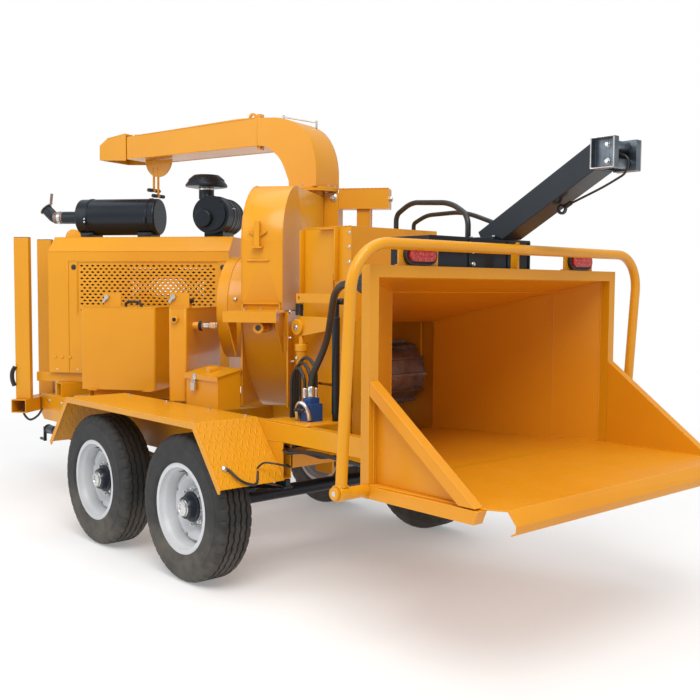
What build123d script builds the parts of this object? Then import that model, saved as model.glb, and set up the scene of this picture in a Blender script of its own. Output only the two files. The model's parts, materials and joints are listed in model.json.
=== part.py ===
from build123d import *
import os
from math import cos, hypot, radians, sin, sqrt, tan

# Towable wood chipper with an angled cutting disc.  Millimetres.
# Machine axes while building: X rearwards from the rear wheel axle, Y to the
# machine's right, Z up from the ground.  The engine, disc and belt drive form a
# group turned about Z; it is built in its own axes (u along the disc shaft,
# v across it) and then turned.  Every part is moved along X at export so that
# the origin is under the middle of the whole machine.

SHIFT_X = 850.0
ENGINE_ANGLE = 37.0

# Running gear
TYRE_R, TYRE_W = 383.5, 211.0
RIM_R = 235.0
WHEEL_Y = 854.0
AXLE_SPACING = 955.0
WHEEL_XS = {"rear": 0.0, "front": -AXLE_SPACING}

# Trailer frame
RAIL_Y1, RAIL_Y0 = 578.0, 522.0
RAIL_Z0, RAIL_Z1 = 736.0, 831.0
BEAM_Y1, BEAM_Y0 = 578.0, 522.0
BEAM_Z0, BEAM_Z1 = 545.0, 736.0
FRAME_FRONT, BEAM_REAR = -2540.0, 380.0
RAIL_FRONT, RAIL_REAR_LEFT, RAIL_REAR_RIGHT = -1250.0, 1050.0, 330.0
WALL = 6.0
EYE_X = -3687.0
EYE_Z = 600.0
EYE_BORE_R, EYE_R, EYE_T = 38.0, 63.0, 42.0

# Infeed
MOUTH_X, MOUTH_Y, MOUTH_Z0, MOUTH_Z1, BAR = 1349.0, 882.0, 657.0, 1616.0, 50.0
THROAT_X, THROAT_Y0, THROAT_Y1, THROAT_Z0, THROAT_Z1 = 400.0, -120.0, 500.0, 717.0, 1332.0
KNEE_X = 1060.0
TRAY_X, TRAY_Y = 2010.0, 800.0
WING_X, WING_Z = 1925.0, 1145.0
FEED_X0, FEED_Y0, FEED_Y1, FEED_TOP = 0.0, -140.0, 520.0, 1850.0
ROLLER_X, ROLLER_Z, ROLLER_R = 190.0, 1030.0, 190.0
LOWER_Z, LOWER_R = 610.0, 100.0
HOOP_Y, HOOP_R, HOOP_X, HOOP_Z, HOOP_TOP = 1020.0, 24.0, 1335.0, 700.0, 1702.0
HOOP_LEAN = 62.0
LEVER_X, LEVER_Y = 512.0, -340.0

# Disc, shaft and belt drive (u, v, z)
SHAFT_V, SHAFT_Z = 437.0, 1385.0
HOUSE_R, DISC_R = 600.0, 560.0
HOUSE_U0, HOUSE_U1 = -437.0, -160.0
HOOD_U0, HOOD_U1, HOOD_V0, HOOD_V1, HOOD_Z = -433.0, -195.0, -163.0, 1037.0, 2120.0
SPLIT_Z = 1387.0
ENGINE_V = 1300.0
GUARD_U0, GUARD_U1, GUARD_R, GUARD_CUT = -680.0, -452.0, 325.0, 1090.0
BIG_SHEAVE_R, SMALL_SHEAVE_R = 240.0, 120.0
SHEAVE_U0, SHEAVE_U1 = -640.0, -540.0

# Engine enclosure, tanks and chute (u, v, z)
ENC_U0, ENC_U1, ENC_V0, ENC_V1, ENC_Z0, ENC_Z1 = -2241.0, -882.0, 947.0, 1680.0, 900.0, 1872.0
ENC_CHAMFER = 103.0
CHUTE_U, CHUTE_V, CHUTE_Z, CHUTE_TURN = -270.0, 900.0, 2182.0, 198.0
CHUTE_W, CHUTE_H = 290.0, 212.0
FUEL = (-1782.0, -1254.0, 543.0, 903.0, 835.0, 1385.0)
HYD = (-915.0, -803.0, -60.0, 540.0, 850.0, 1397.0)

parts = {}


def block(x0, x1, y0, y1, z0, z1):
    """Axis-aligned block from its six limits."""
    return Pos((x0 + x1) / 2, (y0 + y1) / 2, (z0 + z1) / 2) * Box(abs(x1 - x0), abs(y1 - y0), abs(z1 - z0))


def rod_x(x0, x1, y, z, r):
    return Pos((x0 + x1) / 2, y, z) * Rot(0, 90, 0) * Cylinder(r, abs(x1 - x0))


def rod_y(y0, y1, x, z, r):
    return Pos(x, (y0 + y1) / 2, z) * Rot(90, 0, 0) * Cylinder(r, abs(y1 - y0))


def rod_z(z0, z1, x, y, r):
    return Pos(x, y, (z0 + z1) / 2) * Cylinder(r, abs(z1 - z0))


def prism_y(points, y0, y1):
    """Polygon in X-Z extruded from y0 to y1."""
    face = Plane.XZ * make_face(Polyline(*points, close=True))
    return Pos(0, y1, 0) * extrude(face, y1 - y0)


def prism_x(points, x0, x1):
    """Polygon in Y-Z extruded from x0 to x1."""
    face = Plane.YZ * make_face(Polyline(*points, close=True))
    return Pos(x0, 0, 0) * extrude(face, x1 - x0)


def prism_z(points, z0, z1):
    return Pos(0, 0, z0) * extrude(make_face(Polyline(*points, close=True)), z1 - z0)


def turned(shape):
    """Place a piece of the turned engine group in the machine axes."""
    return Rot(0, 0, ENGINE_ANGLE) * shape


def both(shape):
    """A piece and its mirror image on the other side of the machine."""
    return Compound([shape, mirror(shape, Plane.XZ)])


def pipe(points, radii, r):
    """Round tube or hose along straight runs joined by tangent arcs."""
    path = FilletPolyline(*points, radius=radii) if len(points) > 2 else Line(*points)
    start = Plane(path @ 0, z_dir=path % 0)
    return sweep(start * Circle(r), path=path)


def hose(points, r):
    """Flexible line: every corner gets the widest arc its two runs allow."""
    pts = [Vector(*p) for p in points]
    radii = []
    for a, b, c in zip(pts, pts[1:], pts[2:]):
        turn = radians((b - a).get_angle(c - b))
        radii.append(0.45 * min((b - a).length, (c - b).length) / tan(turn / 2))
    return pipe(points, radii, r)


# ---------------------------------------------------------------- running gear

def make_tyre():
    half = TYRE_W / 2
    profile = [(RIM_R - 13.8, -half + 28.5), (RIM_R + 0.8, -half + 15.3), (RIM_R + 1.2, -half + 9),
               (RIM_R + 6, -half + 6), (RIM_R + 60, -half), (TYRE_R - 40, -half + 5), (TYRE_R - 8, -half + 24),
               (TYRE_R, -half + 40)]
    outer = profile + [(r, -w) for r, w in reversed(profile)]
    inner = [(RIM_R - 13.8, half - 50), (RIM_R + 50, half - 16), (TYRE_R - 34, half - 26)]
    ring = outer + inner + [(r, -w) for r, w in reversed(inner)]
    face = Plane.XZ * make_face(Polyline(*[(r, w) for r, w in ring], close=True))
    body = revolve(face, Axis.Z)
    for w in (-60, -22, 22, 60):
        body -= Pos(0, 0, w) * (Cylinder(TYRE_R + 5, 8) - Cylinder(TYRE_R - 9, 8))
    return body


def make_rim():
    """Deep-dish wheel with hub; local +Z points outboard."""
    half = TYRE_W / 2 - 10
    seat = RIM_R - 14.4
    pts = [(seat - 8, -half), (RIM_R, -half), (RIM_R, -half + 5), (seat, -half + 18), (seat, half - 18),
           (RIM_R, half - 5), (RIM_R, half), (seat - 8, half), (seat - 8, half - 14), (seat - 24, half - 40),
           (seat - 24, -half + 30), (seat - 8, -half + 14)]
    barrel = revolve(Plane.XZ * make_face(Polyline(*pts, close=True)), Axis.Z)
    dish_pts = [(70, -22), (112, -22), (150, 14), (176, 14), (seat - 23, -30), (seat - 23, -42), (172, 2), (154, 2),
                (114, -34), (70, -34)]
    dish = revolve(Plane.XZ * make_face(Polyline(*dish_pts, close=True)), Axis.Z)
    for i in range(8):
        dish -= Rot(0, 0, 22.5 + 45 * i) * Pos(172, 0, 0) * Cylinder(11, 120)
    hub = Pos(0, 0, -10) * Cylinder(70.5, 70) + Pos(0, 0, 45) * Cylinder(56, 46) + Pos(0, 0, 74) * Cylinder(38, 14)
    studs = [Rot(0, 0, 45 * i) * Pos(95, 0, -12) * (extrude(RegularPolygon(15, 6), 22) + Cylinder(9, 60))
             for i in range(8)]
    rim = barrel + dish + hub
    for stud in studs:
        rim += stud
    return rim - Pos(0, 0, -40) * Cylinder(28.05, 110)


tyre, rim = make_tyre(), make_rim()
for end, x in WHEEL_XS.items():
    for side, sign in (("left", -1), ("right", 1)):
        spot = Pos(x, sign * WHEEL_Y, TYRE_R) * Rot(-90 * sign, 0, 0)
        parts[f"tyre_{end}_{side}"] = spot * tyre
        parts[f"wheel_{end}_{side}"] = spot * rim

axle = []
for x in WHEEL_XS.values():
    tube = rod_y(-WHEEL_Y + 120, WHEEL_Y - 120, x, TYRE_R, 38)
    tube += rod_y(-WHEEL_Y - 10, WHEEL_Y + 10, x, TYRE_R, 28)
    for s in (-1, 1):
        tube += rod_y(s * (WHEEL_Y - 64), s * (WHEEL_Y - 50), x, TYRE_R, 120)
    axle.append(tube)
parts["axles"] = Compound(axle)


def leaf_pack(x):
    """Slightly arched pack of leaves clamped on an axle."""
    layers = [(390, 0), (330, 11), (250, 22), (160, 33)]
    pack = None
    for half, drop in layers:
        z = TYRE_R + 92 - drop
        leaf = prism_y([(x - half, z + 22), (x, z), (x + half, z + 22), (x + half, z + 32), (x, z + 10.5),
                        (x - half, z + 32)], 520, 580)
        pack = leaf if pack is None else pack + leaf
    saddle = block(x - 60, x + 60, 515, 585, TYRE_R + 38.5, TYRE_R + 60)
    return pack + saddle


springs = [leaf_pack(x) for x in WHEEL_XS.values()]
for x in (-AXLE_SPACING - 400, -AXLE_SPACING / 2, 345):
    springs.append(block(x - 45, x + 45, 535, 565, TYRE_R + 125.2, BEAM_Z0 - 0.2))
parts["leaf_springs"] = Compound([s for piece in springs for s in both(piece).solids()])

fender_pts = [(-1266, 845), (160, 845), (396, 546), (391.5, 542.3), (157.5, 839), (-1263.5, 839), (-1505.5, 542.3),
              (-1510, 546)]
fender = prism_y(fender_pts, 578.5, 972)
fender += prism_y([(-1266, 845), (160, 845), (396, 546), (391, 524), (378, 524), (150, 813), (-1256, 813),
                   (-1492, 524), (-1505, 524), (-1510, 546)], 966, 972)
parts["fenders"] = both(fender)

# --------------------------------------------------------------- trailer frame



def box_tube(x0, x1, y0, y1, z0, z1, axis="x", wall=WALL):
    """Square hollow section, open at both ends of its run."""
    grow = {"x": (1, 0, 0), "y": (0, 1, 0), "z": (0, 0, 1)}[axis]
    gx, gy, gz = [(1 if g else -wall) for g in grow]
    return block(x0, x1, y0, y1, z0, z1) - block(x0 - gx, x1 + gx, y0 - gy, y1 + gy, z0 - gz, z1 + gz)


beam = box_tube(FRAME_FRONT, BEAM_REAR, BEAM_Y0, BEAM_Y1, BEAM_Z0, BEAM_Z1)
beam -= prism_y([(FRAME_FRONT - 1, 500), (FRAME_FRONT + 100, 500), (FRAME_FRONT - 1, 590)], 500, 600)
rails = [box_tube(RAIL_FRONT, RAIL_REAR_LEFT, -RAIL_Y1, -RAIL_Y0, RAIL_Z0 + 0.2, RAIL_Z1),
         box_tube(RAIL_FRONT, RAIL_REAR_RIGHT, RAIL_Y0, RAIL_Y1, RAIL_Z0 + 0.2, RAIL_Z1)]
cross = [box_tube(x, x + 80, -BEAM_Y0 + 0.2, BEAM_Y0 - 0.2, 600, 686, "y") for x in (-2530, -1800, -1250, -300, 310)]
cross += [box_tube(x, x + 80, -578, 578, BEAM_Z1 + 0.2, RAIL_Z1, "y") for x in (-2280, -1760)]
cross += [box_tube(390.3, 1290, y, y + 60, 620, 686) for y in (-280, 220)]
skid = [turned(box_tube(-2360, -700, v, v + 80, RAIL_Z1 + 1, ENC_Z0 - 1)) for v in (980, 1500)]
saddles = [turned(block(u, u + 60, 500, 900, RAIL_Z1 + 0.3, FUEL[4] - 0.3)) for u in (-1720, -1330)]
saddles.append(turned(block(-900, -820, -20, 540, RAIL_Z1 + 0.3, HYD[4] - 0.3)))
parts["trailer_frame"] = Compound(list(both(beam).solids()) + rails + cross + skid + saddles)
tongue = box_tube(EYE_X + 150, FRAME_FRONT + 9.5, -60, 60, 590, 710) \
    + box_tube(FRAME_FRONT + 90.5, -1800.5, -60, 60, 590, 710)
eye = Pos(EYE_X, 0, EYE_Z + 50) * (fillet(Cylinder(EYE_R, EYE_T).edges(), 10) - Cylinder(EYE_BORE_R, EYE_T + 2))
eye += block(EYE_X + EYE_R - 6, EYE_X + 149.5, -34, 34, EYE_Z + 32, EYE_Z + 68)
eye += block(EYE_X + 137, EYE_X + 149.5, -60, 60, EYE_Z - 8, EYE_Z + 108)
parts["tongue"] = Compound(list(tongue.solids()) + [eye])

jack = rod_x(-2740, -2330, -440, 430, 33) + block(-2440, -2400, -462, -418, 460, 599.5)
jack += rod_x(-2330, -2180, -440, 430, 26) + rod_x(-2180, -2170, -440, 430, 70)
jack -= rod_x(-2745, -2700, -440, 430, 12.05)
parts["stowed_jack"] = jack
parts["jack_crank"] = rod_x(-2790, -2702, -440, 430, 12) + block(-2802, -2790, -451, -429, 330, 442) \
    + rod_x(-2870, -2790.5, -440, 342, 11)

guard_beam = turned(box_tube(-2484, -2370, 840, 1560, 612, 707, "y"))
guard_beam -= block(FRAME_FRONT - 0.3, -1500, -590, 590, 500, 760)
posts = [turned(box_tube(-2484, -2370, v, v + 40, 707.2, 1866, "z", 4)) for v in (905, 1225, 1520)]
parts["front_guard"] = Compound([guard_beam.solids().sort_by(SortBy.VOLUME)[-1]] + posts)

# -------------------------------------------------------- engine and enclosure

enc_profile = [(ENC_V0, ENC_Z0), (ENC_V0, ENC_Z1 - ENC_CHAMFER), (ENC_V0 + ENC_CHAMFER, ENC_Z1),
               (ENC_V1 - ENC_CHAMFER, ENC_Z1), (ENC_V1, ENC_Z1 - ENC_CHAMFER), (ENC_V1, ENC_Z0)]
t = 5.0
inner_profile = [(ENC_V0 + t, ENC_Z0 - 1), (ENC_V0 + t, ENC_Z1 - ENC_CHAMFER - 2),
                 (ENC_V0 + ENC_CHAMFER + 2, ENC_Z1 - t), (ENC_V1 - ENC_CHAMFER - 2, ENC_Z1 - t),
                 (ENC_V1 - t, ENC_Z1 - ENC_CHAMFER - 2), (ENC_V1 - t, ENC_Z0 - 1)]
enclosure = prism_x(enc_profile, ENC_U0, ENC_U1) - prism_x(inner_profile, ENC_U0 + t, ENC_U1 - t)
GRILLE_U0, GRILLE_U1, GRILLE_Z0, GRILLE_Z1 = -2010.0, -960.0, 1330.0, 1690.0
enclosure -= block(GRILLE_U0, GRILLE_U1, ENC_V0 - 1, ENC_V0 + 10, GRILLE_Z0, GRILLE_Z1)
enclosure -= block(GRILLE_U0, GRILLE_U1, ENC_V1 - 10, ENC_V1 + 1, GRILLE_Z0, GRILLE_Z1)
enclosure -= block(ENC_U0 - 1, ENC_U0 + 10, ENC_V0 + 90, ENC_V1 - 90, ENC_Z0 + 90, ENC_Z1 - 160)
enclosure -= Pos(ENC_U1, ENGINE_V, 1385) * Rot(0, 90, 0) * Cylinder(90, 30)
parts["engine_enclosure"] = turned(enclosure)


def side_grille(v0):
    """Sheet with staggered diamond openings, fitted behind the side window."""
    sheet = block(GRILLE_U0 - 15, GRILLE_U1 + 15, v0, v0 + 3, GRILLE_Z0 - 15, GRILLE_Z1 + 15)
    pitch_u, pitch_z = 42.0, 22.5
    cell = Rot(90, 0, 0) * extrude(make_face(Polyline((-15, 0), (0, -8), (15, 0), (0, 8), close=True)), 5, both=True)
    holes = []
    for row in range(15):
        shift = pitch_u / 2 if row % 2 else 0.0
        for col in range(24):
            u = GRILLE_U0 + 28 + shift + col * pitch_u
            if u < GRILLE_U1 - 20:
                holes.append(Pos(u, v0 + 1.5, GRILLE_Z0 + 22 + row * pitch_z) * cell)
    return sheet.cut(*holes)


parts["side_grilles"] = turned(Compound([side_grille(ENC_V0 + 5.2), side_grille(ENC_V1 - 8.2)]))
radiator = block(-2200, -2130, ENC_V0 + 60, ENC_V1 - 60, 960, 1720)
engine = block(-1940, -1010, 1150, 1450, 1010, 1440) + block(-1860, -1060, 1200, 1400, 1440, 1640)
engine -= block(-1800, -1150, 1200, 1400, 1060, 1600)
engine += block(-1780, -1200, 1180, 1420, 905, 1010)
engine += rod_x(-1010, -870, ENGINE_V, 1385, 78)
engine -= rod_x(-880, -860, ENGINE_V, 1385, 40.05)
engine -= rod_x(-1990, -1880, ENGINE_V, 1300, 25.05)
parts["engine_block"] = turned(Compound([engine, radiator]))
fan = rod_x(-2070, -2040, ENGINE_V, 1300, 60) + rod_x(-2040, -1890, ENGINE_V, 1300, 25)
for i in range(6):
    fan += Pos(-2055, ENGINE_V, 1300) * Rot(60 * i, 0, 0) * Pos(0, 0, 155) * Rot(0, 0, 35) * Box(8, 70, 200)
parts["cooling_fan"] = turned(fan)

MUFF_V, MUFF_Z, MUFF_R = 1300.0, 2034.0, 133.0
muffler = fillet(rod_x(-2150, -1530, MUFF_V, MUFF_Z, MUFF_R).edges(), 14)
muffler += rod_x(-2075, -2060, MUFF_V, MUFF_Z, MUFF_R + 3)
muffler += rod_x(-2300, -2145, MUFF_V, MUFF_Z, 46)
muffler -= rod_x(-2146, -1534, MUFF_V, MUFF_Z, MUFF_R - 4)
muffler -= rod_x(-2301, -2145, MUFF_V, MUFF_Z, 41.3)
for u in (-2080, -1620):
    muffler += block(u - 55, u + 55, MUFF_V - 80, MUFF_V + 80, ENC_Z1 + 0.2, MUFF_Z - 118)
outlet = pipe([(-2300.3, MUFF_V, MUFF_Z), (-2376, MUFF_V, MUFF_Z), (-2440, MUFF_V, MUFF_Z + 62)], 45, 41)
parts["muffler"] = turned(Compound([muffler, outlet]))
tip = Vector(-64, 0, 62).normalized()
cap_plane = Plane(origin=(-2440 + tip.X * 7, MUFF_V, MUFF_Z + 62 + tip.Z * 7), x_dir=(0, 1, 0), z_dir=(tip.X, 0, tip.Z))
flap = cap_plane * (Cylinder(50, 5) + Pos(0, -54, 0) * Box(30, 20, 5) + Pos(0, -88, 24) * Rot(-38, 0, 0) * Box(26, 70, 9)
                    + Pos(0, -54, 0) * Rot(0, 90, 0) * Cylinder(5, 34))
parts["rain_cap"] = turned(flap)

AIR_U, AIR_Z, AIR_R = -1075.0, 2034.0, 135.0
STEM_U = AIR_U - 60
canister = rod_y(1120, 1480, AIR_U, AIR_Z, AIR_R) + rod_y(1098, 1120, AIR_U, AIR_Z, AIR_R - 22)
canister += rod_y(1060, 1100, AIR_U - 43, AIR_Z - 28, 62)
canister += rod_y(1240, 1262, AIR_U, AIR_Z, AIR_R + 5) + rod_y(1440, 1450, AIR_U, AIR_Z, AIR_R + 4)
canister += block(AIR_U - 70, AIR_U + 70, 1180, 1420, ENC_Z1 + 0.2, AIR_Z - 100)
canister = fillet(canister.edges().filter_by(GeomType.CIRCLE).sort_by(Axis.Y)[0], 10)
canister -= rod_y(1128, 1476, AIR_U, AIR_Z, AIR_R - 5)
stem = rod_z(AIR_Z + AIR_R - 20, 2235, STEM_U, 1200, 54) - rod_z(2000, 2229, STEM_U, 1200, 49)
cap_pts = [(0, 2230), (110, 2230), (148, 2236), (150, 2248), (112, 2300), (90, 2318), (0, 2322)]
cap = Pos(STEM_U, 1200, 0) * revolve(Plane.XZ * make_face(Polyline(*cap_pts, close=True)), Axis.Z)
stem -= rod_y(1100, 1500, AIR_U, AIR_Z, AIR_R - 5)
parts["air_cleaner"] = turned(canister + stem + cap)

# ------------------------------------------------------------- tanks, toolbox

def tank(u0, u1, v0, v1, z0, z1):
    """Welded sheet tank with rounded upright corners."""
    body = fillet(block(u0, u1, v0, v1, z0, z1).edges().filter_by(Axis.Z), 14)
    return body - block(u0 + 4, u1 - 4, v0 + 4, v1 - 4, z0 + 4, z1 - 4)


def cap_guard(u, v, z):
    """Welded tab beside a filler cap that the padlock passes through."""
    tab = block(u - 60, u + 60, v - 5, v, z, z + 92)
    return tab - rod_y(v - 10, v + 5, u - 34, z + 66, 7)


def filler(u, v, z, r):
    """Neck and screw cap on top of a tank."""
    return [rod_z(z, z + 28, u, v, r), rod_z(z + 28.3, z + 54, u, v, r + 9)]


neck, cap = filler(-1600, 640, FUEL[5], 36)
fuel = tank(*FUEL) + neck + cap_guard(-1560, 560, FUEL[5])
parts["fuel_tank"] = turned(Compound([fuel, cap]))
neck, cap = filler(-859, 90, HYD[5], 32)
hyd = tank(*HYD) + neck + cap_guard(-859, -20, HYD[5])
hyd += rod_x(HYD[1] - 4, HYD[1] + 34, 60, 1290, 24) + rod_y(HYD[2] - 22, HYD[2] + 4, -870, 1330, 20)
tap = rod_x(HYD[1] + 34.3, HYD[1] + 60, 60, 1290, 28) + rod_x(HYD[1] + 60, HYD[1] + 150, 60, 1290, 15)
tap += rod_x(HYD[1] + 105, HYD[1] + 140, 60, 1290, 22)
parts["hydraulic_tank"] = turned(Compound([hyd, cap, tap]))


def padlock(u, v, z):
    """Round-bodied lock hanging from a tab, with its shackle."""
    body = rod_y(v - 26, v - 5.3, u, z, 15)
    return body + Pos(u - 12, v - 20, z - 16) * Rot(0, 35, 0) * Box(16, 10, 44)


locks = [turned(padlock(u, v, z + 66)) for u, v, z in ((-1594, 560, FUEL[5]), (-893, -20, HYD[5]))]

TB_X0, TB_X1, TB_Y0, TB_Y1, TB_Z0, TB_Z1 = -560.0, -235.0, -560.0, -407.0, RAIL_Z1 + 0.3, 1018.0
slope = 34.0
LID_HINGE_Y, LID_HINGE_Z = -401.0, 1054.0
box_pts = [(TB_Y0, TB_Z0), (TB_Y0, TB_Z1), (TB_Y1, TB_Z1 + slope), (TB_Y1, TB_Z0)]
cav_pts = [(TB_Y0 + 4, TB_Z0 + 4), (TB_Y0 + 4, TB_Z1 + 6), (TB_Y1 - 4, TB_Z1 + slope + 6), (TB_Y1 - 4, TB_Z0 + 4)]
toolbox = prism_x(box_pts, TB_X0, TB_X1) - prism_x(cav_pts, TB_X0 + 4, TB_X1 - 4)
parts["toolbox"] = toolbox
k = slope / (TB_Y1 - TB_Y0)
lid_pts = [(TB_Y0 - 10, TB_Z1 - 10 * k + 0.6), (TB_Y0 - 10, TB_Z1 - 10 * k + 6), (TB_Y1 + 6, TB_Z1 + slope + 6 * k + 6),
           (TB_Y1 + 6, TB_Z1 + slope + 6 * k + 0.6)]
lid = prism_x(lid_pts, TB_X0 - 8, TB_X1 + 8)
lid += block(TB_X0 - 8, TB_X1 + 8, TB_Y0 - 10, TB_Y0 - 5, TB_Z1 - 24, TB_Z1 - 1)
lid += rod_y(TB_Y0 + 40, TB_Y0 + 110, -398, TB_Z1 + 26, 22)
lid += rod_x(TB_X0 - 8, TB_X1 + 8, LID_HINGE_Y, LID_HINGE_Z, 5)
parts["toolbox_lid"] = lid
locks.append(block(-478, -438, TB_Y0 - 26, TB_Y0 - 11, 930, 972) + pipe([(-469, TB_Y0 - 18.5, 972), (-469, TB_Y0 - 18.5, 1003), (-447, TB_Y0 - 18.5, 1003), (-447, TB_Y0 - 18.5, 972)], 9, 4))
parts["padlocks"] = Compound(locks)

# ---------------------------------------------------- disc housing and rotor

def disc_circle(r, u0, u1):
    return rod_x(u0, u1, SHAFT_V, SHAFT_Z, r)


plate = block(0, 10, HOOD_V0, 1000, 847, SPLIT_Z)
lower_cut = block(HOUSE_U0 - 50, HOUSE_U1 + 50, -900, 2000, SPLIT_Z, 2300)
house = disc_circle(HOUSE_R, HOUSE_U0, HOUSE_U1) - lower_cut
house += Pos(HOUSE_U0, 0, 0) * plate + Pos(HOUSE_U1 - 10, 0, 0) * plate
house -= disc_circle(HOUSE_R - 10, HOUSE_U0 + 10, HOUSE_U1 - 10)
house -= rod_x(HOUSE_U0 - 10, HOUSE_U1 + 10, SHAFT_V, SHAFT_Z, 52)
OPEN_V0, OPEN_V1, OPEN_Z0, OPEN_Z1 = 210.0, 640.0, 865.0, 1240.0
house -= block(HOUSE_U1 - 20, HOUSE_U1 + 10, OPEN_V0, OPEN_V1, OPEN_Z0, OPEN_Z1)

RISE = 340.0


def hood_face(inset):
    """Hood outline in v-z: upright front, rounded shoulder, flat top."""
    v0, v1, z1, r = HOOD_V0 + inset, HOOD_V1 - inset, HOOD_Z - inset, RISE - inset
    z0 = SPLIT_Z + 1 - (2 if inset else 0)
    line = Polyline((v0 + r, z1), (v1, z1), (v1, z0), (v0, z0), (v0, z1 - r))
    arc = ThreePointArc((v0, z1 - r), (v0 + r * (1 - sin(radians(45))), z1 - r * (1 - cos(radians(45)))), (v0 + r, z1))
    return Plane.YZ * make_face(Wire([*line.edges(), arc.edge()]))


hood = Pos(HOOD_U0, 0, 0) * extrude(hood_face(0), HOOD_U1 - HOOD_U0)
hood -= Pos(HOOD_U0 + 6, 0, 0) * extrude(hood_face(6), HOOD_U1 - HOOD_U0 - 12)
hood -= Pos(CHUTE_U, CHUTE_V, HOOD_Z) * Cylinder(72, 40)
hood -= rod_x(HOOD_U0 - 10, HOOD_U1 + 10, SHAFT_V, SHAFT_Z, 52)
hood += block(-350, -320, HOOD_V0 - 34, HOOD_V0, 1750, 1890) + block(-365, -305, HOOD_V0 - 40, HOOD_V0, 1740, 1750)

shelf = block(-478, -175, -360, -164, 1380, 1390) + block(-478, -175, -360, -352, 1330, 1380)
for u in (-470, -195):
    shelf += prism_x([(-352, 1380), (-164, 1380), (-164, 1130)], u, u + 8)
shelf += rod_y(-330, -164, -285, 1300, 30) - rod_y(-335, -200, -285, 1300, 15)

disc = disc_circle(DISC_R, -325, -285) + disc_circle(110, -350, -285)
pocket = block(-330, -283, SHAFT_V - 20, SHAFT_V + 20, SHAFT_Z + 190, SHAFT_Z + 520)
knives = []
for i in range(4):
    spin = Pos(0, SHAFT_V, SHAFT_Z) * Rot(90 * i + 20, 0, 0) * Pos(0, -SHAFT_V, -SHAFT_Z)
    disc -= spin * pocket
    knives.append(spin * Pos(-300, SHAFT_V + 2, SHAFT_Z + 355) * Rot(0, 0, 32) * Box(12, 30, 322))
disc += disc_circle(45, -640, -120)
for i in range(4):
    spin = Pos(0, SHAFT_V, SHAFT_Z) * Rot(90 * i + 65, 0, 0) * Pos(0, -SHAFT_V, -SHAFT_Z)
    disc += spin * block(-395, -325, SHAFT_V - 8, SHAFT_V + 8, SHAFT_Z + 250, SHAFT_Z + 540)
parts["cutting_disc"] = turned(Compound([disc] + [k - disc for k in knives]))


def bearing(u0, u1):
    body = rod_x(u0, u1, SHAFT_V, SHAFT_Z, 85) - rod_x(u0 - 5, u1 + 5, SHAFT_V, SHAFT_Z, 45.05)
    return body


bearings = [bearing(HOUSE_U0 - 60, HOUSE_U0 - 0.2), bearing(HOUSE_U1 + 0.2, HOUSE_U1 + 38)]
parts["disc_housing"] = turned(Compound([house] + list(shelf.solids()) + bearings))


def sheave(v, z, r, bore):
    wheel = rod_x(SHEAVE_U0, SHEAVE_U1, v, z, r)
    for i in range(4):
        u = SHEAVE_U0 + 20 + i * 20
        wheel -= rod_x(u - 7, u + 7, v, z, r + 5) - rod_x(u - 8, u + 8, v, z, r - 12)
    return wheel - rod_x(SHEAVE_U0 - 5, SHEAVE_U1 + 5, v, z, bore)


parts["disc_sheave"] = turned(sheave(SHAFT_V, SHAFT_Z, BIG_SHEAVE_R, 45.0))
drive = sheave(ENGINE_V, SHAFT_Z, SMALL_SHEAVE_R, 20.0) + rod_x(-870, SHEAVE_U1, ENGINE_V, SHAFT_Z, 40)
parts["engine_sheave"] = turned(drive)


def belt_loop(r_big, r_small, u0, u1):
    """Open-belt outline around the two sheaves, extruded along the shaft."""
    gap = ENGINE_V - SHAFT_V
    a = (r_big - r_small) / gap
    s = sqrt(1 - a * a)
    big, small = (SHAFT_V, SHAFT_Z), (ENGINE_V, SHAFT_Z)
    upper = [(big[0] + r_big * a, big[1] + r_big * s), (small[0] + r_small * a, small[1] + r_small * s)]
    lower = [(small[0] + r_small * a, small[1] - r_small * s), (big[0] + r_big * a, big[1] - r_big * s)]
    edges = [Line(*upper), ThreePointArc(upper[1], (small[0] + r_small, small[1]), lower[0]), Line(*lower),
             ThreePointArc(lower[1], (big[0] - r_big, big[1]), upper[0])]
    return Pos(u0, 0, 0) * extrude(Plane.YZ * make_face(Wire([e.edge() for e in edges])), u1 - u0)


belts = []
for i in range(4):
    u = SHEAVE_U0 + 20 + i * 20
    outer = belt_loop(BIG_SHEAVE_R + 1, SMALL_SHEAVE_R + 1, u - 6, u + 6)
    belts.append(outer - belt_loop(BIG_SHEAVE_R - 11.4, SMALL_SHEAVE_R - 11.4, u - 7, u + 7))
parts["drive_belts"] = turned(Compound(belts))

guard = belt_loop(GUARD_R, GUARD_R - 95, GUARD_U0, GUARD_U1)
guard -= belt_loop(GUARD_R - 5, GUARD_R - 100, GUARD_U0 + 5, GUARD_U1 + 5)
guard -= block(GUARD_U0 - 20, GUARD_U1 + 20, -400, 900, 900, GUARD_CUT)
guard -= rod_x(GUARD_U0 - 20, GUARD_U0 + 20, ENGINE_V, SHAFT_Z, 75)
rim_band = belt_loop(GUARD_R + 6, GUARD_R - 89, GUARD_U0 + 62, GUARD_U0 + 70) \
    - belt_loop(GUARD_R - 1, GUARD_R - 96, GUARD_U0 + 60, GUARD_U0 + 72)
rim_band -= block(GUARD_U0 - 20, GUARD_U1 + 20, -400, 900, 900, GUARD_CUT)
parts["belt_guard"] = turned(guard + rim_band)

beam = block(-100, 235, 885, 1015, 2045, 2178) - block(-120, 229, 891, 1009, 2051, 2172)
beam += block(-194.5, -100, 870, 1030, 1880, 2150) - block(-188, -106, 876, 1024, 1890, 2140)
beam += block(20, 105, 905, 995, 1500, 2045)
beam += block(-159.5, 105, 905, 995, 1420, 1500) - block(-160, -150, 900, 1000, 1400, 1440)
parts["top_beam"] = turned(beam)

# --------------------------------------------------------------------- chute

def chute(shape):
    """Chute pieces: local +X along the spout, origin on the swivel axis."""
    return turned(Pos(CHUTE_U, CHUTE_V, 0)) * Rot(0, 0, CHUTE_TURN - ENGINE_ANGLE) * shape


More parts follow.
